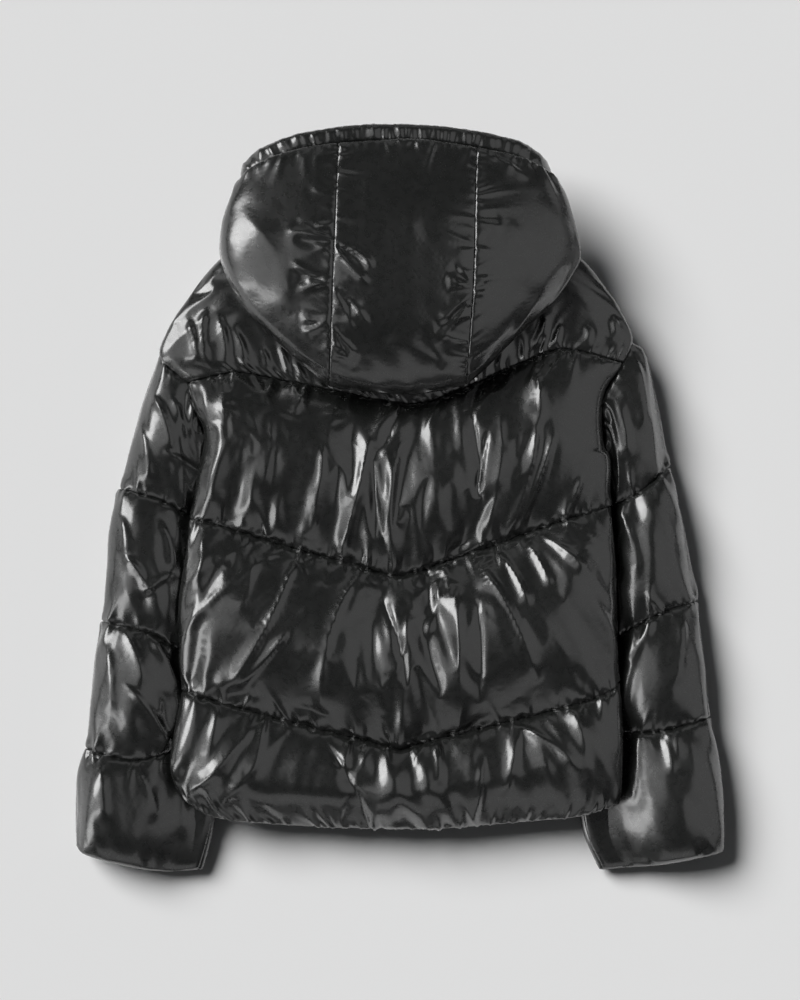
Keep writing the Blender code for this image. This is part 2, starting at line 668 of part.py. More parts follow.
def main():
    clear_scene()
    jacket = new_collection("puffer_jacket")
    cutters = new_collection("cutters")
    for panel, upper_line, lower_line, at_upper, at_crown, at_lower in BACK_BAFFLES:
        back_baffle(panel, upper_line, lower_line, at_upper, at_crown, at_lower, jacket)
    for side_name, side, edges in (("left", -1, LEFT_EDGES), ("right", 1, RIGHT_EDGES)):
        for place, (panel, upper_line, lower_line, *_) in enumerate(BACK_BAFFLES):
            front_baffle(f"front_{side_name}_{place + 1}", panel, side, edges, upper_line,
                         lower_line, jacket)
            sleeve_baffle(side_name, place, jacket)
    for name in HOOD_PANELS:
        hood_panel(name, jacket)
    hood_casing(jacket)
    front_zip(jacket, cutters)


main()
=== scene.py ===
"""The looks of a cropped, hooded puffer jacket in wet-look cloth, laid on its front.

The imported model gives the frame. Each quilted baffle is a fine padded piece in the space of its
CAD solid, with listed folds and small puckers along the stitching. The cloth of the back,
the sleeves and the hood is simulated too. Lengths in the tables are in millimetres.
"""

import math

import bmesh
import bpy
import numpy as np
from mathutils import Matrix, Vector


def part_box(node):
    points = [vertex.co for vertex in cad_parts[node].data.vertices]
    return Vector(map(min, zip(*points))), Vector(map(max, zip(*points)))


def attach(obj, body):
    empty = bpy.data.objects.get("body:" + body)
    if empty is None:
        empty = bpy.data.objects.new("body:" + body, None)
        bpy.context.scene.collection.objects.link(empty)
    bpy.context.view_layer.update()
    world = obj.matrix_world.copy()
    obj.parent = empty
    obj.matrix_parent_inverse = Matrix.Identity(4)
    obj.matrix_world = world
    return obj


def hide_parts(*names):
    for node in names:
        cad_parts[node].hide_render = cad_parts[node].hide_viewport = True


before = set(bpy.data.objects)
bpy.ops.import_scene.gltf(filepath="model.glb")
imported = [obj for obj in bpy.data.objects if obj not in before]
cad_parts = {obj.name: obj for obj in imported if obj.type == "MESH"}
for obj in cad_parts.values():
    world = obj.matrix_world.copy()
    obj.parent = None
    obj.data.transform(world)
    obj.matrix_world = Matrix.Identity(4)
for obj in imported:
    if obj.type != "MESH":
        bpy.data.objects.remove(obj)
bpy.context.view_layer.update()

bl_info = {
    "name": "Wet-look puffer jacket",
    "version": (1, 0, 0),
    "blender": (4, 5, 0),
    "location": "View3D > Sidebar > Puffer Jacket",
    "description": "Makes the quilted cloth, the zip and the studio for a puffer jacket laid flat",
    "category": "Add Mesh",
}

MM = 0.001
THREAD = 0.45               # thickness of the sewing thread
TOOTH_PITCH = 2.0           # from one zip tooth to the next, on alternate sides
EVERY_EDGE = ("first_row", "last_row", "first_column", "last_column")
FLAT_HOLLOW = 0.12          # a flattened sleeve's hollow, as a share of its thickness

# ---- the cut: the seams and outlines of the CAD solids -------------------------------------------
# The hem and the hood are rounded more softly than the solids are.
MID_Z = 36.0                # where the back lies on the fronts, in the middle of the body
MID_SIDE_Z = 46.0           # the same at the sides, which ride up over the sleeves
MID_RISE = (120.0, 210.0)

NECK_LINE = [(-94, 295), (0, 290), (94, 295)]
YOKE_SEAM = [(-233, 128), (-201, 136), (-174, 139), (-134, 132), (-91, 123), (-45, 114), (0, 105),
             (30, 106), (72, 122), (110, 140), (138, 152), (165, 163), (191, 164), (244, 151)]
MIDDLE_SEAM = [(-228, -21), (-204, -27), (-121, -52), (-67, -66), (-14, -82), (4, -83), (31, -74),
               (98, -51), (184, -21), (231, -7)]
LOWER_SEAM = [(-238, -210), (-155, -235), (-86, -253), (-33, -266), (0, -274), (40, -264), (80, -254),
              (160, -234), (225, -213), (241, -200)]
HEM_LINE = [(-235, -332), (-204, -349), (-150, -356), (-86, -360), (0, -362), (44, -362),
            (107, -357), (197, -348), (238, -335)]

# share of the panel's height, x, y
LEFT_EDGES = {
    "yoke": [(0, -94, 295), (0.12, -152, 283), (0.27, -197, 266), (0.5, -231, 224),
             (0.73, -254, 190), (0.88, -265, 161), (0.96, -253, 144), (1, -233, 128)],
    "upper": [(0, -233, 128), (0.27, -228, 102), (0.5, -215, 70), (0.73, -223, 23), (1, -228, -21)],
    "lower": [(0, -228, -21), (0.5, -242, -109), (0.8, -243, -167), (1, -238, -210)],
    "hem": [(0, -238, -210), (0.5, -252, -280), (0.86, -249, -311), (1, -235, -332)],
}
RIGHT_EDGES = {
    "yoke": [(0, 94, 295), (0.12, 154, 283), (0.27, 198, 267), (0.5, 229, 230),
             (0.73, 248, 200), (0.88, 256, 175), (1, 244, 151)],
    "upper": [(0, 244, 151), (0.27, 224, 113), (0.5, 224, 62), (0.73, 232, 45), (1, 231, -7)],
    "lower": [(0, 231, -7), (0.2, 235, -37), (0.5, 238, -90), (1, 241, -200)],
    "hem": [(0, 241, -200), (0.5, 245, -262), (0.86, 244, -318), (1, 238, -335)],
}
BAFFLES = [
    # name, upper line, lower line, height at the upper seam, at the crown, at the lower seam
    ("yoke", NECK_LINE, YOKE_SEAM, 8, 22, 18),
    ("upper", YOKE_SEAM, MIDDLE_SEAM, 18, 44, 18),
    ("lower", MIDDLE_SEAM, LOWER_SEAM, 18, 46, 16),
    ("hem", LOWER_SEAM, HEM_LINE, 16, 40, 7),
]
FAN = {
    # how the lesser folds of a back baffle spread out downwards, lean and stand up, as shares
    "yoke": (0.5, 0.0, 0.45), "upper": (-0.05, -0.12, 1.0), "lower": (0.4, 0.0, 1.1),
    "hem": (0.25, 0.0, 1.0),
}
BACK_WIDTH = 480.0
BACK_LOFT = 42.0            # of the middle baffles, above where the back lies on the fronts
EDGE_POWER = 3.2            # how squarely a padded width is rounded at its edges
BAFFLE_POWER = 0.5          # how squarely a baffle is rounded at its seams
HEM_POWER = 1.6             # the hem falls away more gently than a seam

ZIP_HALF = 8.0
FRONT_WIDTH = 225.0
FRONT_HEIGHT = 40.0
FRONT_NECK_DROP = 9.0
FRONT_GROOVE = 8.0
FRONT_ROUND = 14.0          # how far from a seam the flat underside starts to turn up
HEM_TURN = 26.0             # how far the fronts' hem turns up from the floor
TUCK_Y = (110.0, 70.0)
LINING_CLEAR = 2.5          # the linings of back and fronts lie this far from their middle
LINING_DRAW_IN = 4.0        # and their outline is this far inside the skin's
LINING_SHARE = 4            # a lining has one row and column for this many of the skin's
FRONT_SECTION = [
    # share from side to zip, height over a sleeve, height on the floor, both as shares
    (0.0, 1.00, 1.00), (0.012, 0.93, 0.72), (0.05, 0.85, 0.35), (0.14, 0.78, 0.09),
    (0.30, 0.74, 0.0), (0.45, 0.40, 0.0), (0.64, 0.0, 0.0), (0.92, 0.0, 0.0), (1.0, 0.39, 0.5),
]

SLEEVE_SECTION = [
    # share from the outer edge to the inner one, middle height, loft above it, depth below it
    (0.0, 26, 23, 23), (0.08, 27, 27, 29), (0.18, 27, 31, 28), (0.34, 27, 31, 27),
    (0.5, 25, 27, 25), (0.62, 21, 21, 21), (0.76, 16, 16, 17), (1.0, 13, 15, 13),
]
SLEEVE_WIDTH = 125.0
SLEEVE_PINCH_TOP = 0.40     # what a seam leaves of the sleeve's loft, above and below its middle
SLEEVE_PINCH_UNDER = 0.75
SLEEVE_EDGE_PINCH = 2.5     # how far a seam draws the sleeve's outline in
CUFF_OPEN = 0.5             # the cuff's hollow, as a share of its thickness
ARMHOLE_WALL = 2.0
SLEEVES = {
    "left": {
        "side": -1,
        "armhole": [(0, -265, 161, 46), (0.18, -253, 144, 46), (0.34, -233, 128, 46),
                    (0.5, -228, 102, 46), (0.62, -215, 70, 40), (1, -178, 1, 18)],
        "lines": [
            [(-310, 13), (-265, 0), (-228, -19), (-182, -36)],
            [(-330, -133), (-273, -148), (-242, -166), (-187, -184)],
            [(-348, -274), (-320, -283), (-286, -287), (-252, -279), (-196, -277)],
            [(-360, -382), (-350, -391), (-315, -401), (-264, -411), (-217, -410)],
        ],
        "outer": [
            [(-265, 161), (-284, 111), (-296, 67), (-310, 13)],
            [(-310, 13), (-321, -30), (-324, -75), (-330, -133)],
            [(-330, -133), (-338, -175), (-342, -215), (-348, -274)],
            [(-348, -274), (-357, -300), (-359, -330), (-360, -382)],
        ],
        "inner": [
            [(-178, 1), (-182, -36)],
            [(-182, -36), (-187, -110), (-187, -184)],
            [(-187, -184), (-196, -277)],
            [(-196, -277), (-204, -350), (-217, -410)],
        ],
    },
    "right": {
        "side": 1,
        "armhole": [(0, 256, 175, 46), (0.18, 244, 151, 46), (0.34, 224, 113, 46),
                    (0.5, 224, 88, 46), (0.62, 224, 62, 40), (1, 182, 22, 18)],
        "lines": [
            [(299, 38), (268, 12), (234, -7), (188, -20)],
            [(329, -111), (287, -125), (241, -151), (192, -170)],
            [(344, -240), (288, -255), (245, -257), (196, -256)],
            [(360, -388), (346, -392), (288, -403), (219, -410)],
        ],
        "outer": [
            [(256, 175), (272, 161), (287, 100), (299, 38)],
            [(299, 38), (317, -40), (329, -111)],
            [(329, -111), (338, -180), (344, -240)],
            [(344, -240), (352, -280), (358, -330), (360, -388)],
        ],
        "inner": [
            [(182, 22), (188, -20)],
            [(188, -20), (190, -90), (192, -170)],
            [(192, -170), (196, -256)],
            [(196, -256), (200, -354), (219, -410)],
        ],
    },
}

HOOD_WIDTH = 370.0
HOOD_LENGTH = 270.0         # from its opening to its fold
HOOD_EDGE_Z = 88.0
HOOD_CROWN = 53.0
HOOD_UNDER = 20.0
HOOD_UPPER_WALL = 22.0
HOOD_UNDER_WALL = 18.0
HOOD_DRAW_IN = 0.105
HOOD_FOLD_WALL = 20.0
HOOD_SEAM_DIP = 0.8
HOOD_SEAM_REACH = 6.0
HOOD_OPENING_RISE = 0.46
HOOD_UNDER_DIP = 3.0
HOOD_GATHER = 0.5           # share of the body's gather
HOOD_UNDER_DEPTH = [(0, 1.82), (0.15, 1.4), (0.32, 1.1), (0.5, 1.0), (1, 0.9)]
HOOD_SEAM_LEFT = [(-67, 387), (-70, 307), (-73, 227), (-76, 147), (-77, 124)]
HOOD_SEAM_RIGHT = [(84, 382), (82, 340), (80, 250), (75, 170), (72, 126)]
HOOD_SEAM_LEFT_UNDER = [(-67, 297), (-77, 124)]
HOOD_SEAM_RIGHT_UNDER = [(84, 297), (72, 126)]
HOOD_SIDE_LEFT = [(-177, 345), (-190, 313), (-197, 273), (-187, 238), (-166, 206), (-145, 183)]
HOOD_SIDE_RIGHT = [(172, 350), (184, 325), (197, 271), (188, 245), (170, 218), (152, 200)]
HOOD_PANELS = {
    "left": {
        "span": (0.0, 0.3),
        "opening": [(-177, 345), (-166, 358), (-140, 372), (-99, 383), (-67, 387)],
        "neck": [(-177, 345), (-150, 315), (-97, 300), (-67, 297)],
        "fold": [(-145, 183), (-120, 159), (-95, 138), (-77, 124)],
        "start": (HOOD_SIDE_LEFT, HOOD_SIDE_LEFT),
        "end": (HOOD_SEAM_LEFT, HOOD_SEAM_LEFT_UNDER),
    },
    "centre": {
        "span": (0.3, 0.72),
        "opening": [(-67, 387), (0, 391), (44, 389), (84, 382)],
        "neck": [(-67, 297), (0, 296), (84, 297)],
        "fold": [(-77, 124), (-28, 117), (10, 115), (45, 119), (72, 126)],
        "start": (HOOD_SEAM_LEFT, HOOD_SEAM_LEFT_UNDER),
        "end": (HOOD_SEAM_RIGHT, HOOD_SEAM_RIGHT_UNDER),
    },
    "right": {
        "span": (0.72, 1.0),
        "opening": [(84, 382), (119, 376), (147, 367), (172, 350)],
        "neck": [(84, 297), (97, 300), (150, 318), (172, 350)],
        "fold": [(72, 126), (90, 140), (120, 170), (152, 200)],
        "start": (HOOD_SEAM_RIGHT, HOOD_SEAM_RIGHT_UNDER),
        "end": (HOOD_SIDE_RIGHT, HOOD_SIDE_RIGHT),
    },
}
CASING_WIDTH = 19.0
CASING_THICK = 9.0
CASING_OVERLAP = 1.6        # it is sewn over the hood's edge by this much
CASING_SEAM = [
    # x, y, height and turn of the casing's seam, from the zip round the opening and back
    (-9, 287, 24, 0), (-60, 297, 26, 0), (-100, 303, 38, 0), (-144, 328, 60, 20),
    (-169, 344, 79, 64), (-168, 353, 88, 106), (-153, 364, 96, 148), (-128, 374, 101, 170),
    (-99, 382, 105, 180), (-36, 390, 107, 180), (44, 388, 107, 180), (112, 377, 103, 174),
    (142, 366, 97, 150), (160, 354, 88, 108), (164, 346, 79, 64), (144, 330, 60, 20),
    (100, 303, 38, 0), (60, 297, 26, 0), (9, 287, 24, 0),
]

# ---- main folds, listed one by one ---------------------------------------------------------------
# start x, y, end x, y, sideways bow, width, height (a trough where it is below 0)
BACK_FOLDS = [
    (-193, 122, -209, -21, 6, 19, 5.0),
    (-84, 60, -98, -40, 3, 10, 3.4),
    (-40, 45, -67, -62, 3, 10, 3.8),
    (-1, 102, -30, 45, 4, 10, -4.0),
    (-30, 48, -11, -66, -4, 10, -4.2),
    (-1, 60, -8, -68, -5, 13, 5.4),
    (79, 92, 86, 8, 2, 8, -3.0),
    (97, 74, 86, 8, -2, 8, -3.0),
    (110, 100, 104, 10, 4, 12, 2.6),
    (149, 142, 153, 84, 3, 10, 4.0),
    (150, 86, 117, -40, 6, 12, 4.6),
    (166, 66, 127, -36, 3, 9, 3.6),
    (199, 25, 178, -22, 2, 9, 3.2),
    (-140, 96, -150, 10, 4, 12, 2.2),
    (-215, -31, -230, -138, 6, 15, 4.2),
    (-116, -70, -187, -204, 6, 11, 4.2),
    (-123, -145, -181, -206, 3, 9, 3.2),
    (-43, -76, -84, -235, -15, 14, 5.2),
    (-20, -104, 10, -246, 8, 9, -3.8),
    (10, -120, -4, -190, 3, 9, 3.2),
    (42, -86, 28, -150, 3, 9, 3.2),
    (61, -92, 64, -180, 3, 9, 3.2),
    (84, -110, 87, -215, 3, 8, -3.2),
    (90, -71, 150, -200, 7, 15, 5.4),
    (109, -56, 140, -112, 3, 10, 3.8),
    (138, -42, 164, -95, 3, 10, 3.2),
    (156, -37, 204, -78, 3, 10, 3.2),
    (-160, -60, -175, -120, 4, 12, 2.4),
    (-57, -262, -65, -300, 2, 11, 3.8),
    (-80, -268, -35, -360, 6, 10, -4.2),
    (90, -285, 77, -358, 3, 10, 3.8),
    (131, -250, 114, -320, 2, 9, 3.2),
    (40, -268, 43, -310, 2, 9, 3.2),
    (125, -247, 193, -292, 7, 10, 3.2),
    (-150, -240, -163, -300, 3, 11, 2.8),
    (-200, -226, -215, -290, 3, 12, 2.8),
    (190, -228, 206, -300, 3, 11, 2.8),
    (-232, 196, -224, 150, 3, 9, 3.4),
    (-214, 208, -210, 146, -4, 9, 3.2),
    (-198, 200, -192, 144, 4, 10, 3.6),
    (-180, 186, -168, 142, 3, 9, 3.0),
    (-150, 166, -146, 138, 2, 7, 2.6),
    (-132, 170, -122, 134, 2, 7, 3.0),
    (-116, 152, -106, 130, 2, 6, 2.6),
    (160, 200, 148, 168, 2, 8, 3.0),
    (176, 192, 166, 166, 2, 7, 2.6),
    (206, 190, 206, 166, 2, 7, 2.4),
    (236, 200, 232, 168, 2, 8, 2.6),
]
SLEEVE_FOLDS = {
    "left": [
        (-268, 112, -250, 55, 3, 10, 4.2), (-255, 52, -218, 25, 3, 9, 3.4),
        (-284, 80, -276, 20, 3, 10, 3.2), (-248, 110, -236, 70, 2, 8, 3.0),
        (-300, -62, -278, -102, 4, 11, 4.2), (-279, -102, -250, -82, 3, 9, 3.6),
        (-262, -25, -250, -75, 3, 9, 2.8), (-305, -20, -301, -60, 2, 9, 2.4),
        (-300, -148, -281, -200, 3, 10, 3.2), (-276, -150, -243, -210, 3, 10, 3.8),
        (-298, -205, -256, -266, 4, 10, 3.4), (-322, -160, -318, -230, 3, 10, 2.2),
        (-330, -290, -326, -350, 3, 11, 2.4), (-290, -292, -270, -350, 4, 11, 2.8),
        (-246, -290, -240, -370, 3, 11, 2.4),
    ],
    "right": [
        (262, 150, 268, 80, 3, 10, 3.0), (240, 110, 250, 50, 3, 9, 3.0),
        (280, 20, 296, -60, 4, 12, 2.2), (246, -15, 262, -80, 3, 10, 2.8),
        (287, -120, 246, -236, -9, 11, 3.6), (310, -130, 305, -200, 3, 10, 2.4),
        (262, -140, 250, -180, 2, 9, 2.8), (318, -255, 326, -330, 3, 12, 2.2),
        (262, -262, 256, -330, 3, 10, 2.8), (290, -262, 300, -300, 2, 9, 2.4),
    ],
}
HOOD_FOLDS = [
    (-160, 300, -120, 210, 8, 26, 2.0), (120, 300, 140, 230, 6, 24, 1.6),
    (-30, 340, 40, 250, 6, 26, 1.4), (-20, 170, 40, 150, 4, 20, 1.6),
]
CRUMPLES = [
    # where creases start from a seam of the hood: x, y, direction and its spread in degrees,
    # count, length, height
    (-71, 280, 162, 44, 4, 60, 2.8), (-71, 276, -38, 34, 3, 52, 2.8),
    (-73, 238, 178, 60, 5, 47, 2.8), (-73, 230, -44, 40, 4, 57, 2.8),
    (-75, 196, 192, 40, 3, 37, 2.4), (-75, 190, -62, 36, 3, 45, 2.4),
    (78, 230, 150, 70, 5, 30, 2.6), (78, 228, 15, 60, 3, 27, 2.4),
    (77, 222, 228, 22, 3, 72, 2.8), (83, 378, -25, 14, 2, 77, 2.6),
    (-69, 330, 170, 30, 2, 32, 2.0), (79, 300, 0, 40, 2, 32, 1.8),
]


SUNS = [
    # name, direction towards it, width in degrees, strength, seen in the gloss (or else in the shading)
    ("daylight", (-0.62, 0.50, 0.68), 34.0, 4.2, False),
    ("key", (-0.80, 0.30, 0.58), 31.0, 1.35, True),
]
PANELS = [
    # name, place (x, y, z) and size (x, y) in metres, radiance in watts a square metre a steradian
    ("strip_left", (-5.0, -2.4, 2.8), (1.6, 5.4), 3.6),
    ("panel_left", (-4.4, 0.4, 4.0), (3.6, 8.0), 0.62),
    ("panel_right", (4.4, 0.0, 4.4), (6.4, 8.6), 0.38),
    ("panel_top", (0.5, 6.0, 3.0), (6.0, 2.6), 0.25),
    ("panel_bottom", (0.0, -6.0, 3.2), (7.0, 3.0), 0.42),
]
WORLD_LEVEL = 0.06


def linear(hex_colour):
    """An sRGB hex colour as linear red, green and blue."""
    parts = [(hex_colour >> shift & 255) / 255 for shift in (16, 8, 0)]
    return tuple(c / 12.92 if c <= 0.04045 else ((c + 0.055) / 1.055) ** 2.4 for c in parts)


# ---- settings ------------------------------------------------------------------------------------

class JACKET_PG_cloth(bpy.types.PropertyGroup):
    """The shell cloth and how it is quilted."""

    colour: bpy.props.FloatVectorProperty(
        name="Shell Colour", description="Base colour of the wet-look cloth", subtype="COLOR",
        default=linear(0x131413), min=0.0, max=1.0)
    thread_colour: bpy.props.FloatVectorProperty(
        name="Thread Colour", description="Colour of the stitching", subtype="COLOR",
        default=linear(0x0D0D0D), min=0.0, max=1.0)
    grid: bpy.props.FloatProperty(
        name="Cloth Grid", description="Spacing of the simulated cloth's points, before it is halved",
        default=3.4 * MM, min=2 * MM, max=10 * MM, unit="LENGTH")
    gather: bpy.props.FloatProperty(
        name="Gather", description="Spare width of the cloth along its seams, as a share",
        default=0.08, min=0.0, max=0.3, subtype="FACTOR")
    fold_scale: bpy.props.FloatProperty(
        name="Fold Height", description="Scale of the folds that are laid by hand",
        default=1.0, min=0.0, max=2.0, subtype="FACTOR")
    most_move: bpy.props.FloatProperty(
        name="Most Movement", description="How far the simulation may move a point",
        default=7 * MM, min=0.0, max=30 * MM, unit="LENGTH")
    pucker: bpy.props.FloatProperty(
        name="Pucker Height", description="Height of the small puckers along the stitching",
        default=2.1 * MM, min=0.0, max=4 * MM, unit="LENGTH")
    stitch: bpy.props.FloatProperty(
        name="Stitch Length", description="Length of one stitch with its gap",
        default=3.3 * MM, min=1 * MM, max=10 * MM, unit="LENGTH")


class JACKET_PG_studio(bpy.types.PropertyGroup):
    """The floor and the camera."""

    floor_colour: bpy.props.FloatVectorProperty(
        name="Floor Colour", description="Colour of the plain floor", subtype="COLOR",
        default=linear(0xE6E6E6), min=0.0, max=1.0)
    camera_height: bpy.props.FloatProperty(
        name="Camera Height", description="Height of the camera above the floor",
        default=4.0, min=1.0, max=10.0, unit="LENGTH")
    view_height: bpy.props.FloatProperty(
        name="View Height", description="Length of floor that the camera sees, top to bottom",
        default=1.1, min=0.5, max=3.0, unit="LENGTH")


# ---- lines and patches ---------------------------------------------------------------------------

def smooth_step(value):
    value = np.clip(value, 0.0, 1.0)
    return value * value * (3.0 - 2.0 * value)


def curve_through(points, detail=16):
    """Many points on a smooth line through a few (Catmull-Rom)."""
    points = np.asarray(points, dtype=float)
    padded = np.vstack([2 * points[0] - points[1], points, 2 * points[-1] - points[-2]])
    t = np.linspace(0.0, 1.0, detail, endpoint=False)[:, None]
    fine = []
    for index in range(len(points) - 1):
        before, start, end, after = padded[index:index + 4]
        fine.append(0.5 * (2 * start + (end - before) * t
                           + (2 * before - 5 * start + 4 * end - after) * t ** 2
                           + (3 * start - before - 3 * end + after) * t ** 3))
    return np.vstack([*fine, points[-1:]])


def along(points, shares, axes=2):
    """Points at shares of the length of a smooth line; the length is measured on the first axes."""
    fine = curve_through(points)
    steps = np.linalg.norm(np.diff(fine[:, :axes], axis=0), axis=1)
    length = np.concatenate([[0.0], np.cumsum(steps)])
    wanted = np.asarray(shares) * length[-1]
    return np.stack([np.interp(wanted, length, fine[:, a]) for a in range(fine.shape[1])], axis=1)


def read_table(table, shares):
    """The other columns of a table, smoothed, at shares given by its first column."""
    fine = curve_through(table)
    order = np.argsort(fine[:, 0], kind="stable")
    return np.stack([np.interp(shares, fine[order, 0], fine[order, a])
                     for a in range(1, fine.shape[1])], axis=1)


def patch(top, bottom, start, end, rows, columns):
    """A plan filled in between four lines (Coons), as rows of (x, y) from top to bottom."""
    across = np.asarray(columns)[None, :, None]
    down = np.asarray(rows)[:, None, None]
    between_lines = (1 - down) * top[None] + down * bottom[None]
    between_sides = (1 - across) * start[:, None] + across * end[:, None]
    corners = ((1 - down) * (1 - across) * start[0] + (1 - down) * across * end[0]
               + down * (1 - across) * start[-1] + down * across * end[-1])
    return between_lines + between_sides - corners


def even_shares(run, height, count):
    """Shares of a run whose points are evenly spaced along the curve (run, height)."""
    fine = np.linspace(0.0, 1.0, 4001)
    steps = np.hypot(np.diff(fine) * run, np.diff(height(fine)))
    length = np.concatenate([[0.0], np.cumsum(steps)])
    shares = np.interp(np.linspace(0.0, length[-1], count), length, fine)
    return shares


def roll(share, power=EDGE_POWER):
    """Fullness across a padded width: 0 at both edges, close to 1 between them."""
    return (1 - np.abs(2 * share - 1) ** power) ** (1 / power)


def fullness(share):
    """Fullness between two seams: 0 at both, 1 halfway."""
    return np.maximum(4 * share * (1 - share), 0.0) ** BAFFLE_POWER


def with_height(plan, height):
    return np.concatenate([plan, np.broadcast_to(height, plan.shape[:2])[:, :, None]], axis=2)


def mid_height(x):
    start, end = MID_RISE
    return MID_Z + (MID_SIDE_Z - MID_Z) * smooth_step((np.abs(x) - start) / (end - start))


# ---- folds and puckers ---------------------------------------------------------------------------

def fold_height(plan, folds):
    """Height that the folds add at each point of a plan: soft ridges and troughs, steeper on the left."""
    height = np.zeros(plan.shape[:2])
    for x0, y0, x1, y1, bow, width, rise in folds:
        start = np.array([x0, y0], dtype=float)
        run = np.array([x1, y1], dtype=float) - start
        length = np.linalg.norm(run)
        run /= length
        side = np.array([-run[1], run[0]])
        offset = plan - start
        t = offset @ run / length
        away = offset @ side - bow * 4 * t * (1 - t)
        taper = smooth_step((t + 0.12) / 0.3) * smooth_step((1.12 - t) / 0.3)
        left = away * -np.sign(run[1] or 1.0) > 0
        spread = width * np.where(left, 0.42, 0.72) * (0.6 + 0.7 * np.clip(t, 0.0, 1.0))
        height += rise * taper * np.exp(-((away / spread) ** 2 + 0.03) ** 0.7)
    return height


def crumple_folds(table, seed):
    """Creases that run out from points on a seam, as rows like the listed folds."""
    rng = np.random.default_rng(seed)
    folds = []
    for x, y, direction, spread, count, length, rise in table:
        for place in range(count):
            share = (place + 0.5) / count - 0.5
            angle = math.radians(direction + spread * share + rng.normal(0.0, 0.08 * spread))
            reach = length * rng.uniform(0.55, 1.1)
            folds.append((x, y, x + reach * math.cos(angle), y + reach * math.sin(angle),
                          rng.uniform(-5.0, 5.0), rng.uniform(6.0, 10.0),
                          rise * rng.uniform(0.6, 1.1) * (1.0 if place % 2 == 0 else -0.7)))
    return folds


def smooth_noise(shape, spacing, across, down, seed):
    """Even noise of unit strength with waves about this long, in millimetres, each way."""
    rng = np.random.default_rng(seed)
    fx = np.fft.fftfreq(shape[1], spacing)[None] * across
    fy = np.fft.fftfreq(shape[0], spacing)[:, None] * down
    keep = np.exp(-3.0 * (fx ** 2 + fy ** 2)) * (1 - np.exp(-8.0 * fx ** 2))
    noise = np.fft.ifft2(np.fft.fft2(rng.normal(0.0, 1.0, shape)) * keep).real
    return noise / noise.std()


def normals(grid):
    """Unit normals of a grid, pointing up where the grid lies flat."""
    across = np.gradient(grid, axis=1)
    down = np.gradient(grid, axis=0)
    cross = np.cross(down, across)
    return cross / np.maximum(np.linalg.norm(cross, axis=2, keepdims=True), 1e-9)


def line_length(grid_line):
    steps = np.linalg.norm(np.diff(grid_line, axis=0), axis=1)
    return np.concatenate([[0.0], np.cumsum(steps)])


def raise_by(grid, lift):
    return grid + normals(grid) * lift[:, :, None]


def pucker(grid, rise, seed, seams=(True, True)):
    """Height of small puckers that run out from the first and last rows, uneven in every way."""
    rng = np.random.default_rng(seed)
    lift = np.zeros(grid.shape[:2])
    down = np.linalg.norm(np.diff(grid, axis=0), axis=2)
    depth = np.vstack([np.zeros(grid.shape[1]), np.cumsum(down, axis=0)])
    for used, line, away in ((seams[0], grid[0], depth), (seams[1], grid[-1], depth[-1:] - depth)):
        place = line_length(line)
        at = rng.uniform(0.0, 4.0)
        while used and at < place[-1]:
            width = rng.uniform(1.9, 3.4)
            reach = rng.uniform(7.0, 15.0) * (2.4 if rng.random() < 0.22 else 1.0)
            slant = rng.normal(0.0, 0.22)
            height = rise * rng.uniform(0.45, 1.25) * (1.35 if reach > 16 else 1.0)
            near = np.abs(place - at) < 12.0 + abs(slant) * reach * 2.2
            offset = place[None, near] - at - slant * away[:, near]
            fade = smooth_step(away[:, near] / 1.8) * np.exp(-(away[:, near] / reach) ** 2)
            spread = width * (1 + 0.9 * away[:, near] / reach)
            lift[:, near] += height * np.exp(-(offset / spread) ** 2) * fade
            at += width * rng.uniform(1.7, 3.1)
    return lift


def double(grid):
    """The grid with a smooth point between each two, both ways."""
    for axis in (0, 1):
        grid = np.swapaxes(grid, 0, axis)
        padded = np.concatenate([2 * grid[:1] - grid[1:2], grid, 2 * grid[-1:] - grid[-2:-1]])
        between = (9 * (padded[1:-2] + padded[2:-1]) - padded[:-3] - padded[3:]) / 16
        finer = np.empty((2 * len(grid) - 1, *grid.shape[1:]))
        finer[0::2] = grid
        finer[1::2] = between
        grid = np.swapaxes(finer, 0, axis)
    return grid


# ---- cloth simulation ----------------------------------------------------------------------------

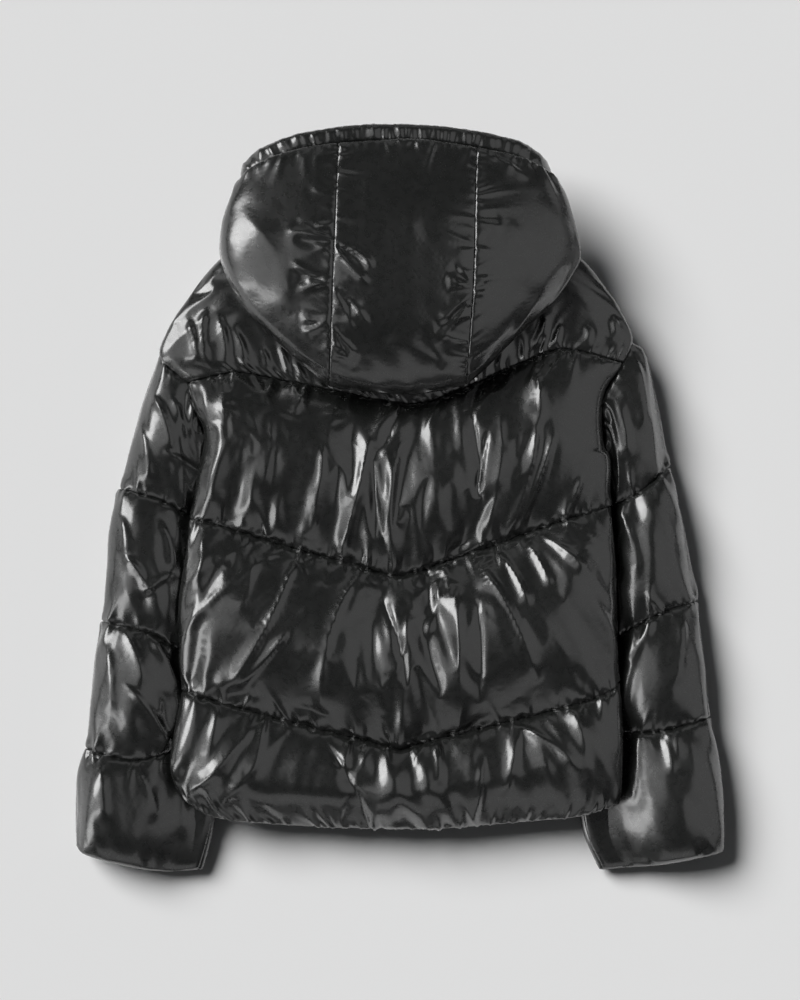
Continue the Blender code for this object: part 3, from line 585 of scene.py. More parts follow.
def settle(grid, pinned, gather, frames=12, bending=5.0):
    """Blender's cloth on a grid: held where pinned, with spare width along its rows, pushed out from
    inside. The result is read back as a grid, and no point moves further than the cloth settings allow.
    """
    settings = bpy.context.scene.jacket_cloth
    rows, columns = grid.shape[:2]
    start = grid.reshape(-1, 3) * MM
    mesh = bpy.data.meshes.new("cloth")
    index = np.arange(rows * columns).reshape(rows, columns)
    quads = np.stack([index[:-1, :-1], index[1:, :-1], index[1:, 1:], index[:-1, 1:]], axis=-1)
    mesh.from_pydata(start.tolist(), [], quads.reshape(-1, 4).tolist())
    cloth = bpy.data.objects.new("cloth", mesh)
    bpy.context.scene.collection.objects.link(cloth)
    cloth.shape_key_add(name="Basis")
    rest = cloth.shape_key_add(name="rest")
    rest.value = 0.0
    wider = start * np.array([1 + gather, 1 + 0.15 * gather, 1 + 0.15 * gather])
    rest.data.foreach_set("co", wider.reshape(-1))
    group = cloth.vertex_groups.new(name="stitched")
    group.add(np.flatnonzero(pinned.reshape(-1)).tolist(), 1.0, "REPLACE")

    modifier = cloth.modifiers.new("Cloth", "CLOTH")
    physics = modifier.settings
    physics.quality = 4
    physics.mass = 0.001
    physics.use_pressure = True
    physics.uniform_pressure_force = 4.0
    physics.bending_stiffness = bending
    physics.vertex_group_mass = "stitched"
    physics.rest_shape_key = rest
    physics.effector_weights.gravity = 0.0
    modifier.collision_settings.use_collision = False
    modifier.point_cache.frame_end = frames
    for number in range(1, frames + 1):
        bpy.context.scene.frame_set(number)
    evaluated = cloth.evaluated_get(bpy.context.evaluated_depsgraph_get())
    moved = np.zeros(rows * columns * 3, dtype=np.float32)
    evaluated.data.vertices.foreach_get("co", moved)
    bpy.data.objects.remove(cloth, do_unlink=True)
    bpy.data.meshes.remove(mesh)
    bpy.context.scene.frame_set(1)

    shift = moved.reshape(-1, 3) - start
    far = np.maximum(np.linalg.norm(shift, axis=1, keepdims=True) / settings.most_move, 1.0)
    return ((start + shift / far) / MM).reshape(rows, columns, 3)


# ---- meshes --------------------------------------------------------------------------------------

def grid_faces(index):
    quads = np.stack([index[:-1, :-1], index[1:, :-1], index[1:, 1:], index[:-1, 1:]], axis=-1)
    return quads.reshape(-1, 4).tolist()


def make_piece(name, points, faces, material, body="jacket"):
    mesh = bpy.data.meshes.new(name)
    mesh.from_pydata((np.asarray(points) * MM).tolist(), [], faces)
    shape = bmesh.new()
    shape.from_mesh(mesh)
    bmesh.ops.remove_doubles(shape, verts=shape.verts, dist=0.02 * MM)
    bmesh.ops.recalc_face_normals(shape, faces=shape.faces)
    shape.to_mesh(mesh)
    shape.free()
    mesh.shade_smooth()
    mesh.materials.append(material)
    piece = bpy.data.objects.new(name, mesh)
    bpy.context.scene.collection.objects.link(piece)
    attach(piece, body)
    return piece


def number_grid(grid, points):
    """Adds a grid's points to a list of point arrays and returns their numbers."""
    first = sum(len(part) for part in points)
    points.append(grid.reshape(-1, 3))
    return np.arange(first, first + grid.shape[0] * grid.shape[1]).reshape(grid.shape[:2])


def edge_of(index, name):
    return {"first_row": index[0], "last_row": index[-1],
            "first_column": index[:, 0], "last_column": index[:, -1]}[name]


def padded_wall(skins, linings, free):
    """Points and faces of a closed padded wall, from fine skins and linings with fewer points.

    free names the edges of each skin that meet no other skin: a strip joins them to the lining.
    """
    points, faces = [], []
    for skin, lining, edges in zip(skins, linings, free):
        fine = number_grid(skin, points)
        coarse = number_grid(lining, points)
        faces += grid_faces(fine)
        faces += [face[::-1] for face in grid_faces(coarse)]
        for name in edges:
            chain, inner = edge_of(fine, name), edge_of(coarse, name)
            for step in range(len(inner) - 1):
                run = chain[step * LINING_SHARE:(step + 1) * LINING_SHARE + 1].tolist()
                faces.append([*run, int(inner[step + 1]), int(inner[step])])
    return np.vstack(points), faces


def coarse_grid(grid):
    return grid[::LINING_SHARE, ::LINING_SHARE].copy()


def odd(count):
    """The count as an odd number, so that a doubled grid can be shared out to its lining."""
    return int(count) // 2 * 2 + 1


# ---- materials -----------------------------------------------------------------------------------

def add_node(tree, kind, place, links=(), **settings):
    """A node with its settings, and its inputs set or linked: links holds (input, value or socket)."""
    node = tree.nodes.new(kind)
    node.location = place
    for name, value in settings.items():
        setattr(node, name, value)
    for socket, value in links:
        if isinstance(value, bpy.types.NodeSocket):
            tree.links.new(value, node.inputs[socket])
        else:
            node.inputs[socket].default_value = value
    return node


def new_material(name):
    material = bpy.data.materials.new(name)
    material.use_nodes = True
    tree = material.node_tree
    tree.nodes.clear()
    return material, tree


def finish_material(tree, shader):
    add_node(tree, "ShaderNodeOutputMaterial", (400, 0), [("Surface", shader.outputs["BSDF"])])


def wet_look_taffeta():
    """Cire polyamide taffeta: plain weave, calendered hot so that its face melts to a wet gloss.

    The eye sees near-black cloth whose light comes almost all from reflection, broken up by a fine
    crinkle and, close to, by the ribs of the weave.
    """
    cloth = bpy.context.scene.jacket_cloth
    material, tree = new_material("wet_look_taffeta")
    place = add_node(tree, "ShaderNodeTexCoord", (-1200, 0))
    # crinkles about 9 mm and 3 mm across
    broad = add_node(tree, "ShaderNodeTexNoise", (-900, 200),
                     [("Vector", place.outputs["Object"]), ("Scale", 1 / (9 * MM)), ("Detail", 3.0),
                      ("Roughness", 0.55), ("Distortion", 0.6)])
    fine = add_node(tree, "ShaderNodeTexNoise", (-900, -100),
                    [("Vector", place.outputs["Object"]), ("Scale", 1 / (2.6 * MM)), ("Detail", 2.0)])
    # taffeta has about 40 threads a centimetre; drawn at 0.9 mm so that it can show close to
    weave = add_node(tree, "ShaderNodeTexWave", (-900, -400),
                     [("Vector", place.outputs["Object"]), ("Scale", 1 / (0.9 * MM) / 6.28)],
                     wave_type="BANDS", bands_direction="Y")
    bump_broad = add_node(tree, "ShaderNodeBump", (-600, 100),
                          [("Strength", 1.0), ("Distance", 0.1 * MM), ("Height", broad.outputs["Fac"])])
    bump_fine = add_node(tree, "ShaderNodeBump", (-400, 0),
                         [("Strength", 1.0), ("Distance", 0.02 * MM), ("Height", fine.outputs["Fac"]),
                          ("Normal", bump_broad.outputs["Normal"])])
    bump_weave = add_node(tree, "ShaderNodeBump", (-200, 0),
                          [("Strength", 0.5), ("Distance", 0.01 * MM), ("Height", weave.outputs["Fac"]),
                           ("Normal", bump_fine.outputs["Normal"])])
    gloss = add_node(tree, "ShaderNodeMapRange", (-400, 300),
                     [("Value", broad.outputs["Fac"]), ("From Min", 0.3), ("From Max", 0.7),
                      ("To Min", 0.24), ("To Max", 0.33)])
    shader = add_node(tree, "ShaderNodeBsdfPrincipled", (100, 0),
                      [("Base Color", (*cloth.colour, 1.0)), ("Roughness", gloss.outputs["Result"]),
                       ("IOR", 1.8), ("Normal", bump_weave.outputs["Normal"]),
                       ("Coat Weight", 0.9), ("Coat Roughness", 0.15)])
    finish_material(tree, shader)
    return material


def twisted_thread():
    """Core-spun polyester thread: matt, as dark as the cloth, ribbed by its twist."""
    cloth = bpy.context.scene.jacket_cloth
    material, tree = new_material("polyester_thread")
    place = add_node(tree, "ShaderNodeTexCoord", (-900, 0))
    twist = add_node(tree, "ShaderNodeTexWave", (-600, 0),
                     [("Vector", place.outputs["Object"]), ("Scale", 1 / (0.8 * MM) / 6.28)],
                     wave_type="BANDS", bands_direction="DIAGONAL")
    bump = add_node(tree, "ShaderNodeBump", (-300, 0),
                    [("Strength", 0.6), ("Distance", 0.05 * MM), ("Height", twist.outputs["Fac"])])
    shader = add_node(tree, "ShaderNodeBsdfPrincipled", (0, 0),
                      [("Base Color", (*cloth.thread_colour, 1.0)), ("Roughness", 0.8),
                       ("Specular IOR Level", 0.2), ("Normal", bump.outputs["Normal"])])
    finish_material(tree, shader)
    return material


def woven_tape():
    """Woven polyester zip tape: matt, with a herringbone rib that shows as fine bands."""
    material, tree = new_material("woven_polyester_tape")
    place = add_node(tree, "ShaderNodeTexCoord", (-900, 0))
    rib = add_node(tree, "ShaderNodeTexWave", (-600, 0),
                   [("Vector", place.outputs["Object"]), ("Scale", 1 / (1.2 * MM) / 6.28),
                    ("Distortion", 1.5)], wave_type="BANDS", bands_direction="DIAGONAL")
    bump = add_node(tree, "ShaderNodeBump", (-300, 0),
                    [("Strength", 0.8), ("Distance", 0.15 * MM), ("Height", rib.outputs["Fac"])])
    shader = add_node(tree, "ShaderNodeBsdfPrincipled", (0, 0),
                      [("Base Color", (*linear(0x1A1A1B), 1.0)), ("Roughness", 0.85),
                       ("Normal", bump.outputs["Normal"])])
    finish_material(tree, shader)
    return material


def moulded_acetal():
    """Injection-moulded acetal, as zip teeth are: smooth, waxy, a soft highlight."""
    material, tree = new_material("moulded_acetal")
    place = add_node(tree, "ShaderNodeTexCoord", (-900, 0))
    grain = add_node(tree, "ShaderNodeTexNoise", (-600, 0),
                     [("Vector", place.outputs["Object"]), ("Scale", 1 / (0.7 * MM))])
    bump = add_node(tree, "ShaderNodeBump", (-300, 0),
                    [("Strength", 0.3), ("Distance", 0.02 * MM), ("Height", grain.outputs["Fac"])])
    shader = add_node(tree, "ShaderNodeBsdfPrincipled", (0, 0),
                      [("Base Color", (*linear(0x1C1C1D), 1.0)), ("Roughness", 0.38), ("IOR", 1.48),
                       ("Normal", bump.outputs["Normal"])])
    finish_material(tree, shader)
    return material


def plated_zinc():
    """Die-cast zinc with black nickel plating: a dark mirror, a little clouded where it is handled."""
    material, tree = new_material("black_nickel_zinc")
    place = add_node(tree, "ShaderNodeTexCoord", (-900, 0))
    wear = add_node(tree, "ShaderNodeTexNoise", (-600, 0),
                    [("Vector", place.outputs["Object"]), ("Scale", 1 / (3 * MM)), ("Detail", 4.0)])
    cloud = add_node(tree, "ShaderNodeMapRange", (-300, 0),
                     [("Value", wear.outputs["Fac"]), ("To Min", 0.18), ("To Max", 0.42)])
    shader = add_node(tree, "ShaderNodeBsdfPrincipled", (0, 0),
                      [("Base Color", (*linear(0x5A5A5E), 1.0)), ("Metallic", 1.0),
                       ("Roughness", cloud.outputs["Result"])])
    finish_material(tree, shader)
    return material


def paper_floor():
    """Seamless background paper: matt, plain, with only the faintest tooth."""
    studio = bpy.context.scene.jacket_studio
    material, tree = new_material("background_paper")
    place = add_node(tree, "ShaderNodeTexCoord", (-900, 0))
    tooth = add_node(tree, "ShaderNodeTexNoise", (-600, 0),
                     [("Vector", place.outputs["Object"]), ("Scale", 1 / (1.5 * MM))])
    bump = add_node(tree, "ShaderNodeBump", (-300, 0),
                    [("Strength", 0.1), ("Distance", 0.05 * MM), ("Height", tooth.outputs["Fac"])])
    shader = add_node(tree, "ShaderNodeBsdfPrincipled", (0, 0),
                      [("Base Color", (*studio.floor_colour, 1.0)), ("Roughness", 0.9),
                       ("Specular IOR Level", 0.1), ("Normal", bump.outputs["Normal"])])
    finish_material(tree, shader)
    return material


def material_named(name, make):
    return bpy.data.materials.get(name) or make()


# ---- the quilted pieces --------------------------------------------------------------------------

def grid_step():
    return bpy.context.scene.jacket_cloth.grid / MM


def baffle_length(top_line, bottom_line):
    return abs(np.mean(np.asarray(top_line)[:, 1]) - np.mean(np.asarray(bottom_line)[:, 1]))


def back_sheet():
    """The whole back as one grid of skin points, with the row numbers of its seams."""
    step = grid_step()
    shares = even_shares(BACK_WIDTH, lambda s: BACK_LOFT * roll(s), odd(BACK_WIDTH * 1.08 / step))
    sheets, seams = [], [0]
    for panel, top_line, bottom_line, at_top, at_crown, at_bottom in BAFFLES:
        length = baffle_length(top_line, bottom_line)
        rise = at_crown - 0.5 * (at_top + at_bottom)
        rows = even_shares(length, lambda s: rise * fullness(s), odd(length * 1.15 / step))
        left, right = read_table(LEFT_EDGES[panel], rows), read_table(RIGHT_EDGES[panel], rows)
        plan = patch(along(top_line, shares), along(bottom_line, shares), left, right, rows, shares)
        seam_height = at_top + (at_bottom - at_top) * rows
        full = fullness(rows)
        if panel == "hem":
            full = np.where(rows > 0.5, 1 - np.abs(2 * rows - 1) ** HEM_POWER, full)
        height = seam_height + (at_crown - seam_height) * full
        skin = with_height(plan, mid_height(plan[:, :, 0]) + height[:, None] * roll(shares)[None])
        middle = 0.55 + 0.45 * np.exp(-((shares - 0.5) / 0.28) ** 2)
        ground = middle * (0.35 + 0.65 * smooth_step(np.minimum(shares, 1 - shares) / 0.04))
        fan, slant, share = FAN[panel]
        lift = fold_field(plan, BACK_FOLDS, share * ground[None], panel, fan=fan, slant=slant)
        lift = lift * seam_fade(rows, length)
        skin = raise_by(skin, lift)
        sheets.append(skin if not sheets else skin[1:])
        seams.append(seams[-1] + len(skin) - 1)
    return np.vstack(sheets), seams


def seam_fade(rows, length, reach=6.0):
    return smooth_step(np.minimum(rows, 1 - rows) * length / reach)[:, None]


def fanned(noise, fan, slant):
    """Noise whose waves spread out downwards by a share, and lean by a share of the height."""
    columns = noise.shape[1]
    place = np.arange(columns) - 0.5 * (columns - 1)
    down = np.linspace(-0.5, 0.5, len(noise))
    lean = slant * len(noise)
    return np.array([np.interp(place / (1 + fan * t) - lean * t, place, row)
                     for t, row in zip(down, noise)])


def fold_field(plan, folds, ground, name, across=29.0, down=85.0, fan=0.0, slant=0.0):
    """Height of the listed folds, and of lesser ones that fill the ground between them.

    The lesser ones are soft waves, sharp creases and a finer wrinkle.
    """
    cloth = bpy.context.scene.jacket_cloth
    step = grid_step()
    seed = 11 + sum(ord(letter) for letter in name)
    shape = plan.shape[:2]
    waves = fanned(smooth_noise(shape, step, across, down, seed), fan, slant)
    creases = smooth_noise(shape, step, 1.5 * across, 1.5 * down, seed + 2)
    creases = fanned(creases, 1.6 * fan, slant - 0.16)
    wrinkle = fanned(smooth_noise(shape, step, 0.5 * across, 0.45 * down, seed + 1), fan, slant + 0.2)
    quiet = 0.35 + 0.9 * smooth_step(0.5 + 0.4 * smooth_noise(shape, step, 110.0, 130.0, seed + 3))
    lesser = 1.1 * waves - 3.0 * np.sqrt(creases ** 2 + 0.03) + 0.6 * wrinkle + 2.4
    return cloth.fold_scale * (fold_height(plan, folds) + lesser * quiet * ground)


def pinned_lines(shape, rows=(), columns=()):
    pinned = np.zeros(shape, dtype=bool)
    pinned[list(rows)] = True
    pinned[:, list(columns)] = True
    return pinned


def padded_piece(name, points, faces, nodes):
    piece = make_piece(name, points, faces, material_named("wet_look_taffeta", wet_look_taffeta))
    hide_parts(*nodes)
    return piece


def keep_line(points):
    """Remember a seam, in a mesh of its own, so that the stitching can follow it."""
    lines = bpy.data.objects.get("seam_lines")
    if lines is None:
        lines = bpy.data.objects.new("seam_lines", bpy.data.meshes.new("seam_lines"))
    shape = bmesh.new()
    shape.from_mesh(lines.data)
    chain = [shape.verts.new(point) for point in np.asarray(points) * MM]
    for start, end in zip(chain, chain[1:]):
        shape.edges.new((start, end))
    shape.to_mesh(lines.data)
    shape.free()


def split(sheet, seams, place):
    return double(sheet[seams[place]:seams[place + 1] + 1])


def pucker_height():
    return bpy.context.scene.jacket_cloth.pucker / MM


def sleeve_section(shares, upper):
    """Middle height of a sleeve at shares of its width, and how far its skin is from that."""
    middle, loft, depth = read_table(SLEEVE_SECTION, shares).T
    return middle, np.where(upper, loft, -depth) * roll(shares)


def sleeve_round(step, width=SLEEVE_WIDTH):
    """Shares of the width for evenly spaced points round a sleeve, from its inner edge and back."""
    turn = np.linspace(0.0, 2.0, 8001)
    shares = 0.5 + 0.5 * np.cos(math.pi * turn)
    middle, away = sleeve_section(shares, turn < 1)
    length = line_length(np.stack([shares * width, middle + away], axis=1))
    turn = np.interp(np.linspace(0.0, length[-1], odd(length[-1] / step)), length, turn)
    return 0.5 + 0.5 * np.cos(math.pi * turn), turn < 1


def sleeve_sheet(name):
    """A whole sleeve as one grid, from the armhole to the cuff, with the row numbers of its seams."""
    cut = SLEEVES[name]
    step = grid_step()
    shares, upper = sleeve_round(step)
    if name == "left":
        shares, upper = shares[::-1], upper[::-1]
    middle, away = sleeve_section(shares, upper)
    pinched = away * np.where(upper, SLEEVE_PINCH_TOP, SLEEVE_PINCH_UNDER)
    sheets, seams = [], [0]
    for place, bottom_line in enumerate(cut["lines"]):
        armhole = read_table(cut["armhole"], shares)
        top = along(cut["lines"][place - 1], shares) if place else armhole[:, :2]
        bottom = along(bottom_line, shares)
        outer = cut["outer"][place]
        length = float(np.linalg.norm(along(outer, [0.0]) - along(outer, [1.0])))
        rows = even_shares(length, lambda s: 20.0 * fullness(s), odd(length * 1.12 / step))
        plan = patch(top, bottom, along(outer, rows), along(cut["inner"][place], rows), rows, shares)
        full = fullness(rows)[:, None]
        centre = plan[:, np.argmin(np.abs(shares - 0.5))][:, None]
        half_width = 0.5 * np.linalg.norm(plan.max(axis=1) - plan.min(axis=1), axis=1)[:, None, None]
        plan = plan + (centre - plan) * (1 - full[:, :, None]) * SLEEVE_EDGE_PINCH / half_width
        first = middle + pinched
        if place == 0:
            half = np.where(upper, ARMHOLE_WALL, -ARMHOLE_WALL) * roll(shares)
            first = np.where(rows[:, None] < 0.5, (armhole[:, 2] + half)[None], first[None])
        level = first * (1 - full) + (middle + away)[None] * full
        skin = with_height(plan, level)
        lift = fold_field(plan, SLEEVE_FOLDS[name], 0.6, f"{name} {place}")
        lift = lift * seam_fade(rows, length) * np.where(upper, 1.0, 0.25)[None]
        skin = raise_by(skin, lift)
        sheets.append(skin if not sheets else skin[1:])
        seams.append(seams[-1] + len(skin) - 1)
    return np.vstack(sheets), seams


def sleeve_lining(part, openness):
    """The flattened hollow of one sleeve baffle."""
    lining = coarse_grid(part)
    centre = 0.5 * (lining.max(axis=1, keepdims=True) + lining.min(axis=1, keepdims=True))
    half_width = 0.5 * (lining[:, :, 0].max(axis=1) - lining[:, :, 0].min(axis=1))[:, None]
    lining[:, :, 0] += (centre - lining)[:, :, 0] * LINING_DRAW_IN / half_width
    level = np.broadcast_to(np.asarray(openness), len(lining))[:, None]
    lining[:, :, 2] = centre[:, :, 2] + (lining[:, :, 2] - centre[:, :, 2]) * level
    return lining


def front_sheet(side, panel, top_line, bottom_line):
    """The underside of one baffle of a front, with its lining."""
    step = 1.45 * grid_step()
    edges = LEFT_EDGES if side < 0 else RIGHT_EDGES
    length = baffle_length(top_line, bottom_line)
    rows = np.linspace(0.0, 1.0, odd(length / step))
    shares = even_shares(FRONT_WIDTH, lambda s: FRONT_HEIGHT * read_table(FRONT_SECTION, s)[:, 1],
                         odd(1.133 * FRONT_WIDTH / step))
    edge = read_table(edges[panel], rows)
    ends = []
    for line, corner in ((top_line, edge[0]), (bottom_line, edge[-1])):
        share = (side * ZIP_HALF - line[0][0]) / (line[-1][0] - line[0][0])
        middle_y = line[0][1] + (line[-1][1] - line[0][1]) * share
        middle_y -= FRONT_NECK_DROP if line is NECK_LINE else 0.0
        ends.append(np.array([corner, (side * ZIP_HALF, middle_y)]))
    zip_side = ends[0][1] + (ends[1][1] - ends[0][1]) * rows[:, None]
    plan = patch(along(ends[0], shares), along(ends[1], shares), edge, zip_side, rows, shares)
    over_sleeve, on_floor = read_table(FRONT_SECTION, shares).T
    mid = mid_height(plan[:, :, 0])
    tucked = smooth_step((TUCK_Y[0] - plan[:, :, 1]) / (TUCK_Y[0] - TUCK_Y[1]))
    level = on_floor[None] * mid * (1 - tucked) + over_sleeve[None] * MID_SIDE_Z * tucked
    away = np.minimum(rows, 1 - rows)[:, None] * length
    groove = FRONT_GROOVE * (1 - np.sqrt(np.clip(1 - (1 - away / FRONT_ROUND) ** 2, 0, 1)))
    groove = np.where(away < FRONT_ROUND, groove, 0.0)
    if panel == "hem":
        near = np.clip(1 - (1 - rows)[:, None] * length / HEM_TURN, 0.0, 1.0)
        groove = np.where(rows[:, None] > 0.5, HEM_TURN * (1 - np.sqrt(1 - near ** 2)), groove)
    level = level + groove * np.clip(1 - level / mid, 0.0, 1.0)
    flip = slice(None, None, -1) if side > 0 else slice(None)
    skin = double(with_height(plan, np.clip(level, 0.3, mid - 0.2))[:, flip])
    lining = coarse_grid(skin)
    lining[:, :, 2] = mid_height(lining[:, :, 0]) - LINING_CLEAR
    lift = pucker(skin, 0.8 * pucker_height(), 300 + side + len(panel), (panel != "yoke", True))
    lesser = smooth_noise(skin.shape[:2], 0.5 * step, 16.0, 60.0, 400 + side + len(panel))
    lift = lift + 1.1 * np.maximum(lesser, 0.0) * seam_fade(np.linspace(0, 1, len(skin)), length, 10.0)
    skin[:, :, 2] = np.minimum(skin[:, :, 2] + lift, mid_height(skin[:, :, 0]) - 0.2)
    return skin, lining


def hood_arch(share):
    """The hood's rise across its width: 0 at its outline, 1 in the middle, fuller on the left."""
    away = np.abs(2 * share - 1)
    return np.where(share < 0.5, (1 - away ** 2.8) ** 0.37, (1 - away ** 2.3) ** 0.72)


def hood_rise(share):
    """The upper layer's rise from the hood's opening to its fold."""
    opening = HOOD_OPENING_RISE + (1 - HOOD_OPENING_RISE) * np.sin(math.pi * share) ** 0.9
    fold = np.maximum(1 - np.abs(2 * share - 1) ** 2.2, 0.0) ** 0.526
    return np.where(share < 0.5, opening, fold)


def hood_depth(share):
    return np.interp(share, *np.asarray(HOOD_UNDER_DEPTH).T) * np.where(share < 0.5, 1.0, hood_rise(share))


def hood_sheets():
    """The hood's upper and under layers and their linings as grids, with the columns of its seams."""
    step = grid_step()
    rows = even_shares(HOOD_LENGTH, lambda s: HOOD_CROWN * hood_rise(s), odd(1.13 * HOOD_LENGTH / step))
    layers = {"upper": [], "under": []}
    seams = [0]
    for name, cut in HOOD_PANELS.items():
        first, last = cut["span"]
        width = (last - first) * HOOD_WIDTH
        columns = even_shares(width, lambda c: HOOD_CROWN * hood_arch(first + (last - first) * c),
                              odd(width * 1.15 / step))
        arch = hood_arch(first + (last - first) * columns)[None]
        from_seam = np.minimum(columns if name != "left" else 1.0, 1 - columns if name != "right" else 1.0)
        dip = np.clip(1 - from_seam * width / HOOD_SEAM_REACH, 0.0, 1.0)[None] ** 2
        for layer, edge, side in (("upper", "opening", 0), ("under", "neck", 1)):
            plan = patch(along(cut[edge], columns), along(cut["fold"], columns),
                         along(cut["start"][side], rows), along(cut["end"][side], rows), rows, columns)
            if layer == "upper":
                rise = hood_rise(rows)[:, None]
                height = HOOD_EDGE_Z + rise * (HOOD_CROWN * arch - HOOD_SEAM_DIP * dip)
            else:
                depth = hood_depth(rows)[:, None]
                height = HOOD_EDGE_Z - depth * (HOOD_UNDER * arch - HOOD_UNDER_DIP * dip)
            grid = with_height(plan, height)
            layers[layer].append(grid if name == "left" else grid[:, 1:])
        seams.append(seams[-1] + len(columns) - 1)
    return np.hstack(layers["upper"]), np.hstack(layers["under"]), rows, seams


def edge_fade(grid, reach=9.0):
    """0 along the hood's outline and fold, 1 further in."""
    across = np.linalg.norm(np.diff(grid, axis=1), axis=2)
    place = np.hstack([np.zeros((len(grid), 1)), np.cumsum(across, axis=1)])
    down = np.linalg.norm(np.diff(grid, axis=0), axis=2)
    to_fold = np.vstack([np.cumsum(down[::-1], axis=0)[::-1], np.zeros((1, grid.shape[1]))])
    nearest = np.minimum(np.minimum(place, place[:, -1:] - place), to_fold)
    return smooth_step(nearest / reach)


def hood_lining(part, rows, layer):
    """The lining of a hood panel, a padded wall's thickness inside its skin."""
    lining = coarse_grid(part)
    share = np.interp(np.linspace(0, 1, len(lining)), np.linspace(0, 1, len(rows)), rows)[:, None]
    lining[:, :, 0] *= 1 - HOOD_DRAW_IN
    lining[:, :, 1] += HOOD_FOLD_WALL * share
    if layer == "upper":
        kept = (HOOD_CROWN - HOOD_UPPER_WALL) / HOOD_CROWN
        lining[:, :, 2] = HOOD_EDGE_Z + (lining[:, :, 2] - HOOD_EDGE_Z) * kept
    else:
        lining[:, :, 2] += HOOD_UNDER_WALL * hood_rise(share) * np.clip(
            (HOOD_EDGE_Z - lining[:, :, 2]) / HOOD_UNDER, 0.0, 1.0)
    return lining


class JACKET_OT_back(bpy.types.Operator):
    """Make the four quilted baffles of the back"""

    bl_idname = "jacket.back"
    bl_label = "Back Baffles"

    def execute(self, context):
        skin, seams = back_sheet()
        pinned = pinned_lines(skin.shape[:2], seams, (0, -1))
        skin = settle(skin, pinned, context.scene.jacket_cloth.gather)
        for place, (panel, *_) in enumerate(BAFFLES):
            part = split(skin, seams, place)
            part = raise_by(part, pucker(part, pucker_height(), 50 + place, (place > 0, True)))
            lining = coarse_grid(part)
            reach = np.abs(lining[:, :1, 0] - lining[:, -1:, 0])
            lining[:, :, 0] *= 1 - 2 * LINING_DRAW_IN / reach
            lining[:, :, 2] = mid_height(lining[:, :, 0]) + LINING_CLEAR
            points, faces = padded_wall([part], [lining], [EVERY_EDGE])
            padded_piece(f"quilted_back_{panel}", points, faces, [f"back_{panel}"])
            if panel != "hem":
                keep_line(part[-1])
        return {"FINISHED"}


class JACKET_OT_sleeves(bpy.types.Operator):
    """Make both sleeves, four quilted baffles each"""

    bl_idname = "jacket.sleeves"
    bl_label = "Sleeves"

    def execute(self, context):
        for side in SLEEVES:
            skin, seams = sleeve_sheet(side)
            pinned = pinned_lines(skin.shape[:2], seams, (0, -1))
            skin = settle(skin, pinned, 0.8 * context.scene.jacket_cloth.gather)
            skin[:, :, 2] = np.maximum(skin[:, :, 2], 0.3)
            for place in range(4):
                part = split(skin, seams, place)
                part = raise_by(part, pucker(part, pucker_height(), 150 + 10 * place + len(side),
                                             (True, place < 3)))
                part[:, :, 2] = np.maximum(part[:, :, 2], 0.3)
                part[:, -1] = part[:, 0]
                lining_rows = (len(part) - 1) // LINING_SHARE + 1
                open_end = CUFF_OPEN if place == 3 else FLAT_HOLLOW
                openness = FLAT_HOLLOW + (open_end - FLAT_HOLLOW) * smooth_step(
                    np.linspace(-1.0, 1.0, lining_rows))
                points, faces = padded_wall([part], [sleeve_lining(part, openness)],
                                            [("first_row", "last_row")])
                padded_piece(f"quilted_sleeve_{side}_{place + 1}", points, faces,
                             [f"sleeve_{side}_{place + 1}"])
                if place < 3:
                    keep_line(part[-1])
        return {"FINISHED"}


class JACKET_OT_fronts(bpy.types.Operator):
    """Make both fronts, pressed flat under the jacket"""

    bl_idname = "jacket.fronts"
    bl_label = "Fronts"

    def execute(self, context):
        for name, side in (("left", -1), ("right", 1)):
            for place, (panel, top_line, bottom_line, *_) in enumerate(BAFFLES):
                skin, lining = front_sheet(side, panel, top_line, bottom_line)
                points, faces = padded_wall([skin], [lining], [EVERY_EDGE])
                padded_piece(f"quilted_front_{name}_{place + 1}", points, faces,
                             [f"front_{name}_{place + 1}"])
                if panel != "hem":
                    keep_line(skin[-1])
        return {"FINISHED"}


class JACKET_OT_hood(bpy.types.Operator):
    """Make the three panels of the hood, each an upper and an under layer"""

    bl_idname = "jacket.hood"
    bl_label = "Hood"

    def execute(self, context):
        upper, under, rows, seams = hood_sheets()
        folds = HOOD_FOLDS + crumple_folds(CRUMPLES, 3)
        lift = fold_field(upper[:, :, :2], folds, 0.3, "hood", 45.0, 60.0)
        upper = raise_by(upper, lift * edge_fade(upper))
        pinned = pinned_lines(upper.shape[:2], (0, -1), seams)
        gather = HOOD_GATHER * context.scene.jacket_cloth.gather
        upper = settle(upper, pinned, gather)
        lesser = smooth_noise(under.shape[:2], grid_step(), 26.0, 40.0, 77)
        under = raise_by(under, -0.8 * lesser * edge_fade(under))
        for place, name in enumerate(HOOD_PANELS):
            skins, linings = [], []
            for layer, sheet in (("upper", upper), ("under", under)):
                part = double(sheet[:, seams[place]:seams[place + 1] + 1])
                lining = hood_lining(part, rows, layer)
                across = np.swapaxes(part, 0, 1)
                lift = pucker(across, 0.45 * pucker_height(), 200 + place, (place > 0, place < 2)).T
                lift = lift + pucker(part, pucker_height(), 220 + place, (True, False))
                lift[-1] = 0.0
                if place != 1:
                    lift[:, 0 if place == 0 else -1] = 0.0
                part = raise_by(part, lift if layer == "upper" else -0.6 * lift)
                skins.append(part)
                linings.append(lining)
            sewn = ("first_row", *(["first_column"] if place > 0 else []),
                    *(["last_column"] if place < 2 else []))
            points, faces = padded_wall(skins, linings, [sewn, sewn])
            padded_piece(f"hood_{name}_panel", points, faces, [f"hood_{name}"])
            if place < 2:
                keep_line(skins[0][:, -1])
        return {"FINISHED"}


